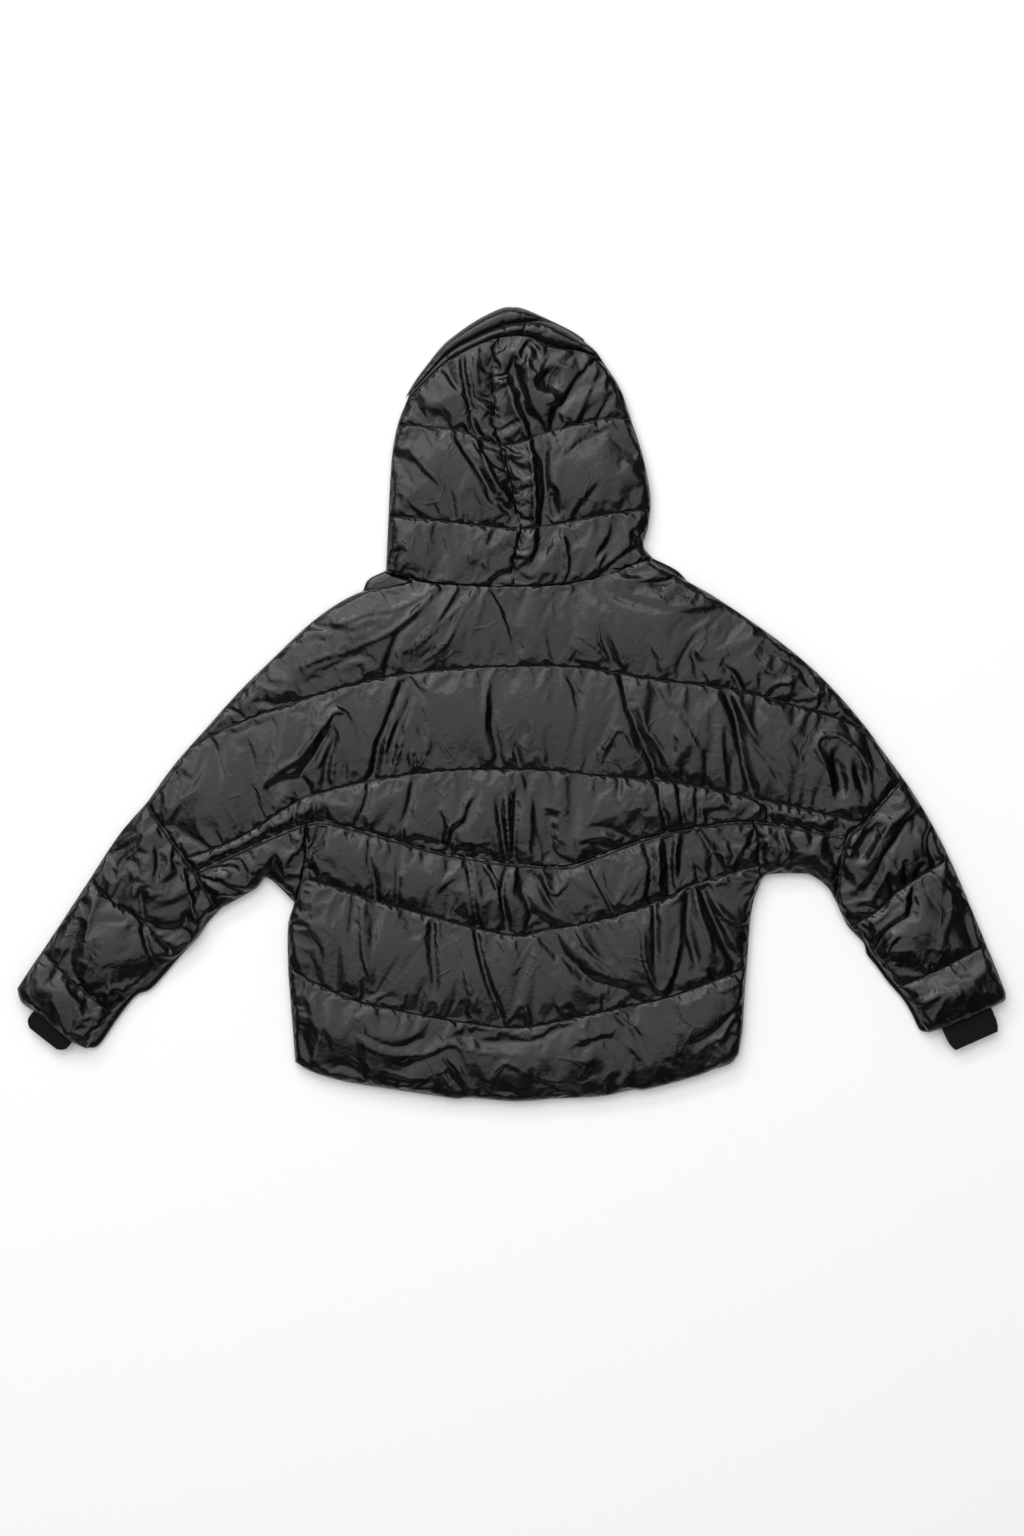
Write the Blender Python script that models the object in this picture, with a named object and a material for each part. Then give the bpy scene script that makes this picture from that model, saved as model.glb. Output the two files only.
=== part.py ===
"""Hooded batwing puffer jacket of faux leather, laid flat on its front with the back up.

Sizes are in millimetres and are turned to metres when a mesh is made. The frame has its origin on the
surface under the middle of the laid jacket, +X to the wearer's right, +Y to the hood and +Z up. Left and
right are the wearer's, which are the viewer's too when the back is up.

The jacket lies in two layers. The lower layer is the front: two front panels with a zip between them, the
front halves of the lower sleeves and the stand under the hood. It is plain and flat where it rests. The
upper layer is the back: each panel is a padded wall with a plain inside, and its outside rises between
the quilting lines and is creased by the folds. The hood's two sides are folded round their outer edges.
"""

import math
from collections import namedtuple

import bpy
import numpy as np
from mathutils import Vector
from mathutils.geometry import delaunay_2d_cdt

MM = 0.001

# Walls and heights
SEAM_GAP = 0.3
FRONT_WALL = 9.0
LAYER = FRONT_WALL + SEAM_GAP  # height of the plain inside of the upper layer
STITCHED = 4.5  # wall left at a seam or a quilting line
PUFF_REACH = 19.0  # how fast a puff rises from its stitching
HELD_REACH = 9.0  # how far stitching holds folds and gathers down
SWELL = 6.0  # height that the upper layer gains from the laid edge to the middle
SWELL_REACH = 45.0
EDGE_ROUND = 7.0  # width of the rounding under an edge of the lower layer
EDGE_LIFT = 4.0  # height of that rounding
SLOT = 0.4  # height of the closed space inside the folded hood
FOLD_WALL = 15.0  # solid cloth at the hood's folded side edges
SLOT_PAST = 40.0  # how far the closed space runs past the hood's lower edge
SLOT_OVER = 120.0  # and past its upper edge
HOOD_LOFT = 14.0
CROWN_LOFT = 9.0
BAND_LOFT = 6.0
STRIP_REACH = 8.0

# The zip lies between the edges of the two fronts.
ZIP_HALF = 7.0
ZIP_THICK = 3.0
ZIP_HEIGHT = 3.0
ZIP_SHORT = 4.0  # how far it stops short of the hem and the neck

# Rib cuffs, flattened. Each goes into its sleeve's mouth between the two halves.
CUFF_INSIDE = 26.0
CUFF_THICK = 4.4
CUFF_SLIT = 0.6
RIB_PITCH = 7.4
RIB_DEPTH = 0.45
CUFF_ROOM = CUFF_THICK + SEAM_GAP  # how far a sleeve's upper half is lifted off the lower one over a cuff
CUFF_ROOM_DEPTH = 36.0
CUFF_ROOM_RAMP = 18.0

# Spacing of a panel's points
SEAM_STEP = 13.5
OUTER_STEP = 17.0
STRIP_STEP = 9.5
PLAIN_STEP = 60.0
LINE_RING = 5.5  # distance of the extra row of points beside a seam or a quilting line
STRIP_RING = 3.5
DEEP_FOLD = 8  # height from which a fold has rows of points of its own
LINE_END = 2.0  # how far a quilting line stops short of a panel's border

# ---------------------------------------------------------------------------------------------------
# Lines of the cut. Each row is a point: x, y. MIDDLE is the middle of the jacket in these tables.

MIDDLE = (0.5, 0.48)

SHOULDER_LEFT = ((-453, -121), (-419, -74), (-382, -32), (-339, 16), (-292, 62), (-254, 98), (-219, 124),
                 (-185, 141), (-151, 148), (-130, 152))
SHOULDER_RIGHT = ((176, 178), (221, 153), (259, 131), (308, 98), (356, 62), (398, 23), (439, -24),
                  (463, -57), (488, -91))
NECK_SEAM = ((-156, 167), (-139, 161), (-102, 152), (-52, 148), (4, 147), (59, 149), (108, 158),
             (158, 176), (176, 183))
QUILT_1 = ((-402, -56), (-356, -31), (-271, 2), (-168, 31), (-82, 43), (4, 47), (84, 46), (171, 32),
           (276, 18), (348, 0), (418, -23), (452, -44))
QUILT_2 = ((-402, -192), (-339, -166), (-271, -124), (-244, -112), (-168, -94), (-82, -83), (-14, -81),
           (61, -83), (101, -88), (206, -98), (295, -116), (348, -126), (425, -145))
TWIN_SEAM = ((-392, -208), (-326, -177), (-270, -153), (-240, -146), (-214, -149), (-168, -161), (-89, -183),
             (-31, -193), (4, -198), (66, -201), (101, -191), (171, -165), (259, -148), (311, -146),
             (365, -154), (418, -165))
QUILT_3 = ((-260, -216), (-212, -230), (-162, -247), (-105, -262), (-51, -277), (8, -288), (40, -282),
           (94, -272), (144, -259), (189, -242), (235, -222), (278, -209), (309, -201))
QUILT_4 = ((-278, -327), (-250, -343), (-194, -368), (-129, -383), (-75, -393), (6, -402), (75, -391),
           (132, -379), (190, -366), (246, -347), (294, -328))
HEM = ((-269, -446), (-249, -458), (-209, -470), (-149, -480), (-89, -489), (-69, -492), (-49, -491),
       (0, -495), (31, -494), (51, -492), (111, -489), (151, -481), (171, -480), (231, -464), (251, -456),
       (274, -448), (284, -436))
SIDE_SEAM_LEFT = ((-254, -150), (-256, -182), (-260, -216), (-270, -247))
SIDE_LEFT = ((-270, -247), (-278, -276), (-278, -327), (-275, -369), (-269, -446))
SIDE_SEAM_RIGHT = ((301, -146), (308, -176), (309, -201), (312, -219))
SIDE_RIGHT = ((312, -219), (300, -257), (294, -328), (291, -369), (289, -404), (284, -436))
UNDERARM_LEFT = ((-361, -254), (-334, -239), (-316, -228), (-306, -216), (-291, -226), (-270, -247))
UNDERARM_RIGHT = ((312, -219), (322, -212), (361, -211), (376, -214), (395, -228), (404, -243))
ELBOW_LEFT = ((-453, -121), (-424, -164), (-392, -208), (-375, -237), (-361, -254))
ELBOW_RIGHT = ((488, -91), (465, -116), (440, -144), (418, -165), (409, -197), (404, -243))

SLEEVE_LEFT_OUTER = ((-453, -121), (-489, -163), (-526, -219), (-564, -277), (-594, -322), (-615, -354))
SLEEVE_LEFT_MOUTH = ((-615, -354), (-610, -371), (-595, -382), (-576, -397), (-552, -418), (-529, -429))
SLEEVE_LEFT_INNER = ((-361, -254), (-378, -269), (-389, -289), (-414, -313), (-451, -341), (-479, -368),
                     (-504, -396), (-529, -429))
SLEEVE_LEFT_UNDER = ((-361, -254), (-378, -272), (-389, -289), (-414, -316), (-448, -354), (-468, -364),
                     (-491, -392), (-514, -425), (-529, -429))
SLEEVE_LEFT_QUILT_1 = ((-525, -217), (-498, -244), (-474, -259), (-454, -274), (-434, -294), (-414, -313))
SLEEVE_LEFT_QUILT_2 = ((-584, -307), (-564, -327), (-542, -349), (-522, -366), (-496, -387))

SLEEVE_RIGHT_OUTER = ((488, -91), (500, -108), (522, -144), (542, -182), (559, -219), (575, -257),
                      (598, -313), (616, -359))
SLEEVE_RIGHT_MOUTH = ((616, -359), (615, -369), (598, -378), (562, -395), (538, -404), (519, -409))
SLEEVE_RIGHT_INNER = ((404, -243), (415, -267), (424, -278), (442, -298), (450, -311), (470, -338),
                      (489, -361), (502, -379), (519, -409))
SLEEVE_RIGHT_UNDER = ((404, -243), (415, -267), (422, -279), (440, -298), (444, -312), (456, -327),
                      (470, -346), (489, -368), (500, -386), (510, -406), (519, -409))
SLEEVE_RIGHT_QUILT_1 = ((545, -188), (535, -198), (505, -217), (481, -233), (459, -254), (424, -278))
SLEEVE_RIGHT_QUILT_2 = ((592, -298), (574, -309), (546, -323), (516, -338), (481, -353))

HOOD_SIDE_LEFT = ((-156, 167), (-155, 187), (-153, 231), (-149, 304), (-142, 346), (-131, 376))
HOOD_SIDE_RIGHT = ((176, 183), (165, 198), (171, 221), (174, 258), (165, 308), (150, 354), (136, 394),
                   (115, 427))
HOOD_FOLD = ((-131, 376), (-89, 419), (-51, 443), (-15, 456), (21, 458), (56, 445), (89, 439), (115, 427))
HOOD_BAND_SEAM = ((-127, 387), (-80, 437), (-46, 457), (-11, 472), (34, 479), (64, 470), (92, 452))
HOOD_RIM = ((-132, 383), (-119, 405), (-104, 425), (-89, 444), (-74, 458), (-44, 479), (-14, 494), (1, 496),
            (16, 494), (46, 481), (76, 466), (91, 456))
HOOD_CROWN_END = ((115, 427), (106, 440), (92, 452))
CENTRE_SEAM = ((-15, 456), (-24, 419), (-21, 374), (-16, 328), (-1, 286), (6, 242), (12, 217), (4, 182),
               (4, 147))
HOOD_QUILT_1_LEFT = ((-142, 348), (-102, 345), (-65, 340), (-40, 331), (-15, 321))
HOOD_QUILT_1_RIGHT = ((-15, 321), (14, 326), (34, 335), (71, 345), (115, 355), (150, 357))
HOOD_QUILT_2_LEFT = ((-153, 234), (-102, 230), (-52, 224), (11, 217))
HOOD_QUILT_2_RIGHT = ((11, 217), (46, 222), (84, 229), (132, 238), (173, 243))

STAND_LEFT = ((-185, 141), (-178, 156), (-156, 167))
STAND_RIGHT = ((176, 183), (206, 168), (221, 153))
STAND_BASE = ((-185, 141), (-120, 122), (0, 108), (120, 130), (221, 153))

# ---------------------------------------------------------------------------------------------------
# Folds: a ridge (height above 0) or a trough (below 0) from one point to another, worked into the
# outside of the panels that it crosses. Width is the distance from its middle to its foot.

Fold = namedtuple("Fold", "x1 y1 x2 y2 width height")
FOLDS = tuple(Fold(*row) for row in (
    # upper back: valleys that fall from the shoulders, and the pucker at the centre back
    (-134, 24, -176, -92, 20, -9),
    (-104, 20, -132, -80, 26, 4),
    (-214, -6, -262, -100, 22, 7),
    (-232, -60, -302, -92, 24, -7),
    (-200, -20, -196, -96, 16, -5),
    (6, 30, 4, -70, 30, 3),
    (2, -84, 4, -196, 17, -10),
    (-24, -90, -26, -180, 16, 4),
    (36, -90, 34, -186, 18, 5),
    (-70, -96, -92, -170, 16, -5),
    (150, 20, 206, -90, 26, -5),
    (238, 6, 284, -96, 24, 5),
    (398, -20, 404, -116, 22, 9),
    (376, -30, 384, -122, 14, -6),
    (424, -48, 440, -118, 15, -7),
    (-250, 66, -110, 112, 26, 5),
    (-300, 0, -170, 60, 26, 4),
    (60, 130, 120, 66, 26, -3),
    (-40, 132, -70, 66, 22, 3),
    # lower back
    (96, -290, 142, -372, 22, -8),
    (140, -282, 184, -350, 24, 5),
    (-170, -256, -176, -356, 22, -5),
    (-206, -246, -214, -350, 26, 4),
    (-110, -282, -104, -372, 18, -4),
    (-28, -300, -2, -388, 16, 5),
    (232, -240, 214, -330, 18, 6),
    (262, -232, 286, -282, 16, -5),
    (-120, -440, -60, -462, 26, 6),
    (-40, -424, 70, -432, 30, -5),
    (-70, -196, -62, -262, 14, 4),
    (-36, -206, -32, -268, 14, 5),
    (2, -202, 6, -276, 14, 5),
    (-52, -200, -48, -264, 12, -4),
    (-16, -204, -12, -272, 12, -5),
    (190, -172, 196, -232, 13, 4),
    (222, -164, 228, -218, 13, 4),
    (206, -168, 212, -224, 12, -4),
    # underarms
    (-262, -166, -266, -222, 9, -5),
    (-300, -180, -330, -214, 14, 5),
    (312, -160, 322, -200, 12, 7),
    (330, -158, 336, -196, 11, -6),
    # lower sleeves
    (-486, -180, -470, -260, 22, -6),
    (-446, -206, -440, -280, 22, 6),
    (-452, -300, -420, -330, 14, -7),
    (-500, -300, -506, -350, 24, 6),
    (-560, -372, -536, -404, 20, 5),
    (470, -128, 424, -218, 18, -9),
    (494, -138, 440, -244, 18, 7),
    (514, -168, 470, -236, 16, -6),
    (500, -232, 460, -300, 16, 7),
    (478, -244, 446, -286, 12, -6),
    (536, -240, 520, -318, 26, 6),
    # hood: the tuck beside the centre seam, and the hollows of its crown
    (34, 440, 4, 372, 13, 8),
    (4, 372, 22, 300, 13, 9),
    (22, 300, 34, 226, 13, 8),
    (52, 420, 30, 350, 12, -9),
    (32, 350, 40, 232, 11, -14),
    (40, 222, 16, 160, 12, -9),
    (86, 400, 52, 352, 26, -10),
    (116, 414, 96, 360, 22, 8),
    (-62, 424, -48, 344, 16, -7),
    (-38, 430, -34, 350, 14, 6),
    (-44, 326, -8, 244, 12, -8),
    (-100, 320, -78, 246, 26, 4),
    (112, 330, 76, 306, 24, -5),
    (150, 208, 96, 160, 20, -5),
    (-64, 210, -30, 160, 22, -4),
    (-136, 206, -150, 178, 14, -6),
))

# ---------------------------------------------------------------------------------------------------
# Gathers: short puckers that stand off a stitched line on both sides, at a pitch along it.

GATHER_STEP = 6.0

Gather = namedtuple("Gather", "line pitch reach height")
GATHERS = tuple(Gather(*row) for row in (
    (QUILT_1, 52, 22, 1.6),
    (QUILT_2, 42, 26, 2.6),
    (TWIN_SEAM, 38, 30, 3.6),
    (QUILT_3, 40, 26, 2.8),
    (QUILT_4, 44, 24, 2.0),
    (SLEEVE_LEFT_QUILT_1, 30, 18, 2.0),
    (SLEEVE_LEFT_QUILT_2, 36, 18, 1.6),
    (SLEEVE_RIGHT_QUILT_1, 30, 20, 2.2),
    (SLEEVE_RIGHT_QUILT_2, 36, 18, 1.6),
    (CENTRE_SEAM, 26, 20, 3.4),
))

# ---------------------------------------------------------------------------------------------------
# Cuffs: the middle of the sleeve's mouth, the sleeve's direction, the cuff's width, how far it comes out,
# and what is left of its width at its rounded end.

Cuff = namedtuple("Cuff", "node x y degrees width out end")
CUFFS = (
    Cuff("cuff_left", -572, -403, 232, 62, 17.5, 0.70),
    Cuff("cuff_right", 568, -392, 294, 67, 30, 0.86),
)

# ---------------------------------------------------------------------------------------------------
# Plane geometry


def smooth(rows, step=SEAM_STEP):
    """A smooth curve through the rows, as points about a step apart."""
    rows = np.array(rows, float)
    ends = np.vstack([2 * rows[0] - rows[1], rows, 2 * rows[-1] - rows[-2]])
    share = np.linspace(0, 1, 16, endpoint=False)[:, None]
    fine = [0.5 * (2 * start + (end - before) * share
                   + (2 * before - 5 * start + 4 * end - after) * share ** 2
                   + (3 * start - before - 3 * end + after) * share ** 3)
            for before, start, end, after in zip(ends, ends[1:], ends[2:], ends[3:])]
    fine = np.vstack(fine + [rows[-1]])
    along = np.concatenate([[0], np.cumsum(np.linalg.norm(np.diff(fine, axis=0), axis=1))])
    at = np.linspace(0, along[-1], max(2, round(along[-1] / step) + 1))
    return np.column_stack([np.interp(at, along, fine[:, 0]), np.interp(at, along, fine[:, 1])])


def height_on(line, x):
    """The y of a line that runs in +X, at x."""
    return np.interp(x, line[:, 0], line[:, 1])


def between(line, low_x, high_x):
    """The stretch of a line that runs in +X from low_x to high_x, with its ends exactly there."""
    inside = line[(line[:, 0] > low_x) & (line[:, 0] < high_x)]
    return np.vstack([(low_x, height_on(line, low_x)), inside, (high_x, height_on(line, high_x))])


def loop(*lines):
    """One closed outline, anticlockwise, from lines that follow each other, with no point twice."""
    points = np.vstack(lines)
    points = points[np.linalg.norm(points - np.roll(points, 1, axis=0), axis=1) > 1.0]
    x, y = points.T
    area = np.sum(x * np.roll(y, -1) - y * np.roll(x, -1))
    return points if area > 0 else points[::-1]


def inset(outline, distance):
    """The outline moved inwards."""
    ahead = np.roll(outline, -1, axis=0) - outline
    ahead /= np.linalg.norm(ahead, axis=1)[:, None]
    inward = np.column_stack([-ahead[:, 1], ahead[:, 0]])
    both = inward + np.roll(inward, 1, axis=0)
    lengths = np.maximum(np.sum(both * both, axis=1), 0.6)
    return outline + 2 * distance * both / lengths[:, None]


def beside(line, distance):
    """Points on both sides of a line, at a distance from it."""
    ahead = np.gradient(line, axis=0)
    ahead /= np.linalg.norm(ahead, axis=1)[:, None]
    across = distance * np.column_stack([-ahead[:, 1], ahead[:, 0]])
    middles, shift = (line[1:] + line[:-1]) / 2, (across[1:] + across[:-1]) / 2
    return np.vstack([middles + shift, middles - shift])


def distance_to(points, line, closed=False):
    """How far each point is from a line of straight stretches."""
    starts = line if closed else line[:-1]
    ends = np.roll(line, -1, axis=0) if closed else line[1:]
    best = np.full(len(points), np.inf)
    for start, run in zip(starts, ends - starts):
        share = np.clip((points - start) @ run / max(run @ run, 1e-9), 0, 1)
        best = np.minimum(best, np.linalg.norm(points - start - share[:, None] * run, axis=1))
    return best


def within(points, outline):
    """Which points lie inside a closed outline."""
    found = np.zeros(len(points), bool)
    for (x1, y1), (x2, y2) in zip(outline, np.roll(outline, -1, axis=0)):
        if y1 != y2:
            crosses = (points[:, 1] < y1) != (points[:, 1] < y2)
            found ^= crosses & (points[:, 0] < x1 + (points[:, 1] - y1) * (x2 - x1) / (y2 - y1))
    return found


def clear_of(points, outline, lines, distance):
    """The points inside an outline that keep a distance from it and from the lines."""
    points = points[within(points, outline)]
    points = points[distance_to(points, outline, closed=True) > distance]
    for line in lines:
        points = points[distance_to(points, line) > distance]
    return points


def apart(points, others, distance):
    """The points that are at least a distance from all the others."""
    if not len(points) or not len(others):
        return points
    gaps = np.linalg.norm(points[:, None] - others[None], axis=2)
    return points[gaps.min(axis=1) > distance]


def grid_points(outline, step):
    """Points in a triangle pattern over an outline's box."""
    low, high = outline.min(axis=0), outline.max(axis=0)
    rows = np.arange(low[1], high[1], step * math.sqrt(0.75))
    return np.array([(x, y) for row, y in enumerate(rows)
                     for x in np.arange(low[0] + step * (row % 2) / 2, high[0], step)])


def fold_points():
    """Rows of points along the deep folds and along both feet of each."""
    rows = []
    for fold in FOLDS:
        if abs(fold.height) >= DEEP_FOLD:
            line = smooth(((fold.x1, fold.y1), (fold.x2, fold.y2)), STRIP_STEP)
            rows += [line, beside(line, fold.width * 0.75)]
    return np.vstack(rows)


def triangulate(outline, lines, step, ring=0.0, folded=False):
    """Points and triangles that fill an outline: its own points first, then edges along every line.
    Where a ring distance is given, a row of points follows the border and both sides of every line."""
    inner = clear_of(grid_points(outline, step), outline, lines, step * 0.62)
    if folded:
        folds = clear_of(fold_points(), outline, lines, LINE_RING + 3.0)
        inner = np.vstack([apart(inner, folds, step * 0.55), folds])
    if ring:
        rows = np.vstack([inset(outline, ring)] + [beside(line, ring) for line in lines])
        rows = clear_of(rows, outline, lines, ring * 0.8)
        inner = np.vstack([apart(inner, rows, step * 0.5), rows])
    places = [Vector(point) for point in outline]
    edges = [(i, (i + 1) % len(outline)) for i in range(len(outline))]
    for line in lines:
        edges += [(len(places) + i, len(places) + i + 1) for i in range(len(line) - 1)]
        places += [Vector(point) for point in line]
    places += [Vector(point) for point in inner]
    made, _, faces, _, _, _ = delaunay_2d_cdt(places, edges, [], 1, 0.05)
    return np.array([tuple(point) for point in made]), [tuple(face) for face in faces]


# ---------------------------------------------------------------------------------------------------
# Heights


def pillow(distance, height, reach):
    """The rise of padding at a distance from the stitching that holds it down."""
    return height * (1 - np.exp(-distance / reach))


def rounding(distance, width):
    """The lift under an edge that is rounded over a width."""
    return EDGE_LIFT * np.clip(1 - distance / width, 0, 1) ** 2


def ease(share):
    """A share from 0 to 1 with soft ends."""
    share = np.clip(share, 0, 1)
    return share * share * (3 - 2 * share)


def swell_at(points):
    """The height that the upper layer gains from the laid edge to the middle."""
    edges = (SHOULDER_LEFT, SHOULDER_RIGHT, HEM, SIDE_LEFT, SIDE_RIGHT, UNDERARM_LEFT, UNDERARM_RIGHT,
             SLEEVE_LEFT_OUTER, SLEEVE_LEFT_MOUTH, SLEEVE_LEFT_INNER, SLEEVE_RIGHT_OUTER,
             SLEEVE_RIGHT_MOUTH, SLEEVE_RIGHT_INNER, HOOD_SIDE_LEFT, HOOD_SIDE_RIGHT, HOOD_RIM)
    nearest = np.min([distance_to(points, smooth(edge)) for edge in edges], axis=0)
    return pillow(nearest, SWELL, SWELL_REACH)


def folds_at(points):
    """The height that the folds add at each point: a rounded ridge or trough that fades past its ends."""
    total = np.zeros(len(points))
    for fold in FOLDS:
        line = np.array([(fold.x1, fold.y1), (fold.x2, fold.y2)], float)
        total += fold.height * np.exp(-((1.6 * distance_to(points, line) / fold.width) ** 2))
    return total


def gathers_at(points):
    """The height that the puckers along the stitched lines add at each point: an uneven wave along the
    line that dies away from it."""
    total = np.zeros(len(points))
    for number, gather in enumerate(GATHERS):
        line = smooth(gather.line, GATHER_STEP)
        gaps = np.linalg.norm(points[:, None] - line[None], axis=2)
        off, along = gaps.min(axis=1), gaps.argmin(axis=1) * GATHER_STEP
        turn = 2 * math.pi * along / gather.pitch + 1.1 * np.sin(along / 71 + number) + 0.03 * off
        uneven = 0.65 + 0.35 * np.sin(along / 53 + 2 * number)
        total += gather.height * uneven * np.sin(turn) * np.exp(-off / gather.reach)
    return total


# ---------------------------------------------------------------------------------------------------
# Objects


def material(name, colour, roughness):
    """A plain finish."""
    made = bpy.data.materials.new(name)
    made.use_nodes = True
    made.diffuse_color = (*colour, 1)
    shader = made.node_tree.nodes["Principled BSDF"]
    shader.inputs["Base Color"].default_value = (*colour, 1)
    shader.inputs["Roughness"].default_value = roughness
    shader.inputs["Metallic"].default_value = 0.0
    return made


def new_object(name, points, faces, finish, collection):
    """An object from points in the tables' millimetres, with the frame's origin under MIDDLE."""
    mesh = bpy.data.meshes.new(name)
    placed = (np.asarray(points, float) - (*MIDDLE, 0.0)) * MM
    mesh.from_pydata(placed.tolist(), [], faces)
    mesh.update()
    mesh.shade_smooth()
    mesh.set_sharp_from_angle(angle=math.radians(50))
    mesh.materials.append(finish)
    made = bpy.data.objects.new(name, mesh)
    collection.objects.link(made)
    return made


def closed_wall(outline, top, bottom):
    """Points and faces of a closed wall from its two sides. Each side is its points with heights, whose
    first ones are the outline's, and its triangles."""
    (top_points, top_faces), (low_points, low_faces) = top, bottom
    shift, count = len(top_points), len(outline)
    faces = top_faces + [tuple(shift + i for i in reversed(face)) for face in low_faces]
    faces += [(i, shift + i, shift + (i + 1) % count, (i + 1) % count) for i in range(count)]
    return np.vstack([top_points, low_points]), faces


def side(points, heights, faces):
    """One side of a wall: its plane points with heights, and its triangles."""
    return np.column_stack([points, np.broadcast_to(heights, len(points))]), faces


def resting_side(outline, width=EDGE_ROUND):
    """The flat underside of a piece that lies on the surface, rounded up at its edge."""
    points, faces = triangulate(outline, [], PLAIN_STEP, ring=width)
    return side(points, rounding(distance_to(points, outline, closed=True), width * 0.85), faces)


# A padded panel: its outline, its quilting lines, the height of its puffs, and for a sleeve its mouth.
Panel = namedtuple("Panel", "node outline quilting loft mouth", defaults=((), 12.0, None))


def padded_side(panel, outline, base):
    """The outside of a padded panel, which rises between its stitched lines from the base heights."""
    lines = [quilting_line(rows, outline) for rows in panel.quilting]
    points, faces = triangulate(outline, lines, OUTER_STEP, ring=LINE_RING, folded=True)
    stitching = [distance_to(points, outline, closed=True)] + [distance_to(points, line) for line in lines]
    nearest = np.min(stitching, axis=0)
    loose = pillow(nearest, 1.0, HELD_REACH)
    rise = pillow(nearest, panel.loft, PUFF_REACH) + loose * (folds_at(points) + gathers_at(points))
    return side(points, base(points) + STITCHED + swell_at(points) + np.maximum(rise, 0.0), faces)


def quilting_line(rows, outline):
    """A quilting line from border to border of a panel."""
    fine = smooth(rows, 1.0)
    inside = fine[within(fine, inset(outline, LINE_END))]
    return smooth(inside[::6])


def upper_panel(panel, finish, collection):
    """One padded panel of the upper layer. Its inside is plain: level, but for the room over a cuff."""
    outline = inset(panel.outline, SEAM_GAP / 2)

    def inside(points):
        if panel.mouth is None:
            return np.full(len(points), LAYER)
        from_mouth = distance_to(points, panel.mouth)
        return LAYER + CUFF_ROOM * ease((CUFF_ROOM_DEPTH + CUFF_ROOM_RAMP - from_mouth) / CUFF_ROOM_RAMP)

    points, faces = triangulate(outline, [], PLAIN_STEP if panel.mouth is None else OUTER_STEP)
    wall = closed_wall(outline, padded_side(panel, outline, inside), side(points, inside(points), faces))
    new_object(panel.node, *wall, finish, collection)


def folded_panel(panel, edge, towards_centre, finish, collection, cutters):
    """A hood side: padded above, folded round its outer edge and flat below, with the closed space of the
    hood cut in from the centre seam."""
    outline = inset(panel.outline, SEAM_GAP / 2)
    upper = padded_side(panel, outline, lambda points: np.full(len(points), LAYER))
    made = new_object(panel.node, *closed_wall(outline, upper, resting_side(outline)), finish, collection)
    fold = edge + (FOLD_WALL * towards_centre, 0.0)
    far = fold[0, 0] + towards_centre * 2 * SLOT_OVER
    low, high = fold[0, 1] - SLOT_PAST, fold[-1, 1] + SLOT_OVER
    reach = loop([(fold[0, 0], low)], fold, [(fold[-1, 0], high), (far, high), (far, low)])
    slot = slab(panel.node + "_slot", reach, FRONT_WALL, FRONT_WALL + SLOT, finish, cutters)
    slot.hide_render = True
    slot.display_type = "WIRE"
    cut = made.modifiers.new("slot", "BOOLEAN")
    cut.operation = "DIFFERENCE"
    cut.object = slot


def padded_strip(node, border, loft, finish, collection):
    """A narrow padded piece of the hood that rests on the surface itself."""
    outline = inset(border, SEAM_GAP / 2)
    points, faces = triangulate(outline, [], STRIP_STEP, ring=STRIP_RING)
    rise = pillow(distance_to(points, outline, closed=True), loft, STRIP_REACH)
    wall = closed_wall(outline, side(points, FRONT_WALL + rise, faces), resting_side(outline, STRIP_RING))
    new_object(node, *wall, finish, collection)


def lower_panel(node, border, finish, collection):
    """One panel of the lower layer: flat where it rests, rounded under its edge, plain on top."""
    outline = inset(border, SEAM_GAP / 2)
    points, faces = triangulate(outline, [], PLAIN_STEP)
    wall = closed_wall(outline, side(points, FRONT_WALL, faces), resting_side(outline))
    new_object(node, *wall, finish, collection)


def slab(node, outline, low, high, finish, collection):
    """A plain slab between two heights."""
    points, faces = triangulate(outline, [], 2 * SLOT_OVER)
    wall = closed_wall(outline, side(points, high, faces), side(points, low, faces))
    return new_object(node, *wall, finish, collection)


def tube_section(width, thick, ribs, depth):
    """The section of a flattened tube, across and up, as a closed ring: ribs along each face."""
    pitch = (width - thick) / ribs
    left = (thick - width) / 2
    face = [(left + pitch * (rib + half), thick / 2 - depth * (1 - 2 * half))
            for rib in range(ribs) for half in (0, 0.5)]
    half_ring = face + [(-left, thick / 2), (width / 2, 0.0)]
    return half_ring + [(-across, -up) for across, up in half_ring]


def cuff(spec, finish, collection):
    """A knitted tube, flattened, from inside the sleeve's mouth to its rounded end."""
    angle = math.radians(spec.degrees)
    out = np.array([math.cos(angle), math.sin(angle)])
    across = np.array([out[1], -out[0]])
    middle = LAYER + CUFF_THICK / 2
    ribs = round(spec.width / RIB_PITCH)
    stations = ((-CUFF_INSIDE, 1.0), (0.3 * spec.out, 1.0), (0.75 * spec.out, (1.5 + spec.end) / 2.5),
                (spec.out, spec.end))
    rings = []
    for thick, depth in ((CUFF_THICK, RIB_DEPTH), (CUFF_SLIT, 0.0)):
        for along, share in stations:
            width = (spec.width - CUFF_THICK + thick) * share
            centre = np.array([spec.x, spec.y]) + out * along
            rings.append([(*(centre + across * a), middle + up)
                          for a, up in tube_section(width, thick, ribs, depth)])
    size, count = len(rings[0]), len(stations)
    order = list(range(count)) + list(range(2 * count - 1, count - 1, -1))
    faces = []
    for here, after in zip(order, order[1:] + order[:1]):
        faces += [(here * size + i, here * size + (i + 1) % size, after * size + (i + 1) % size,
                   after * size + i) for i in range(size)]
    new_object(spec.node, [point for ring in rings for point in ring], faces, finish, collection)


# ---------------------------------------------------------------------------------------------------
# The jacket


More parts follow.
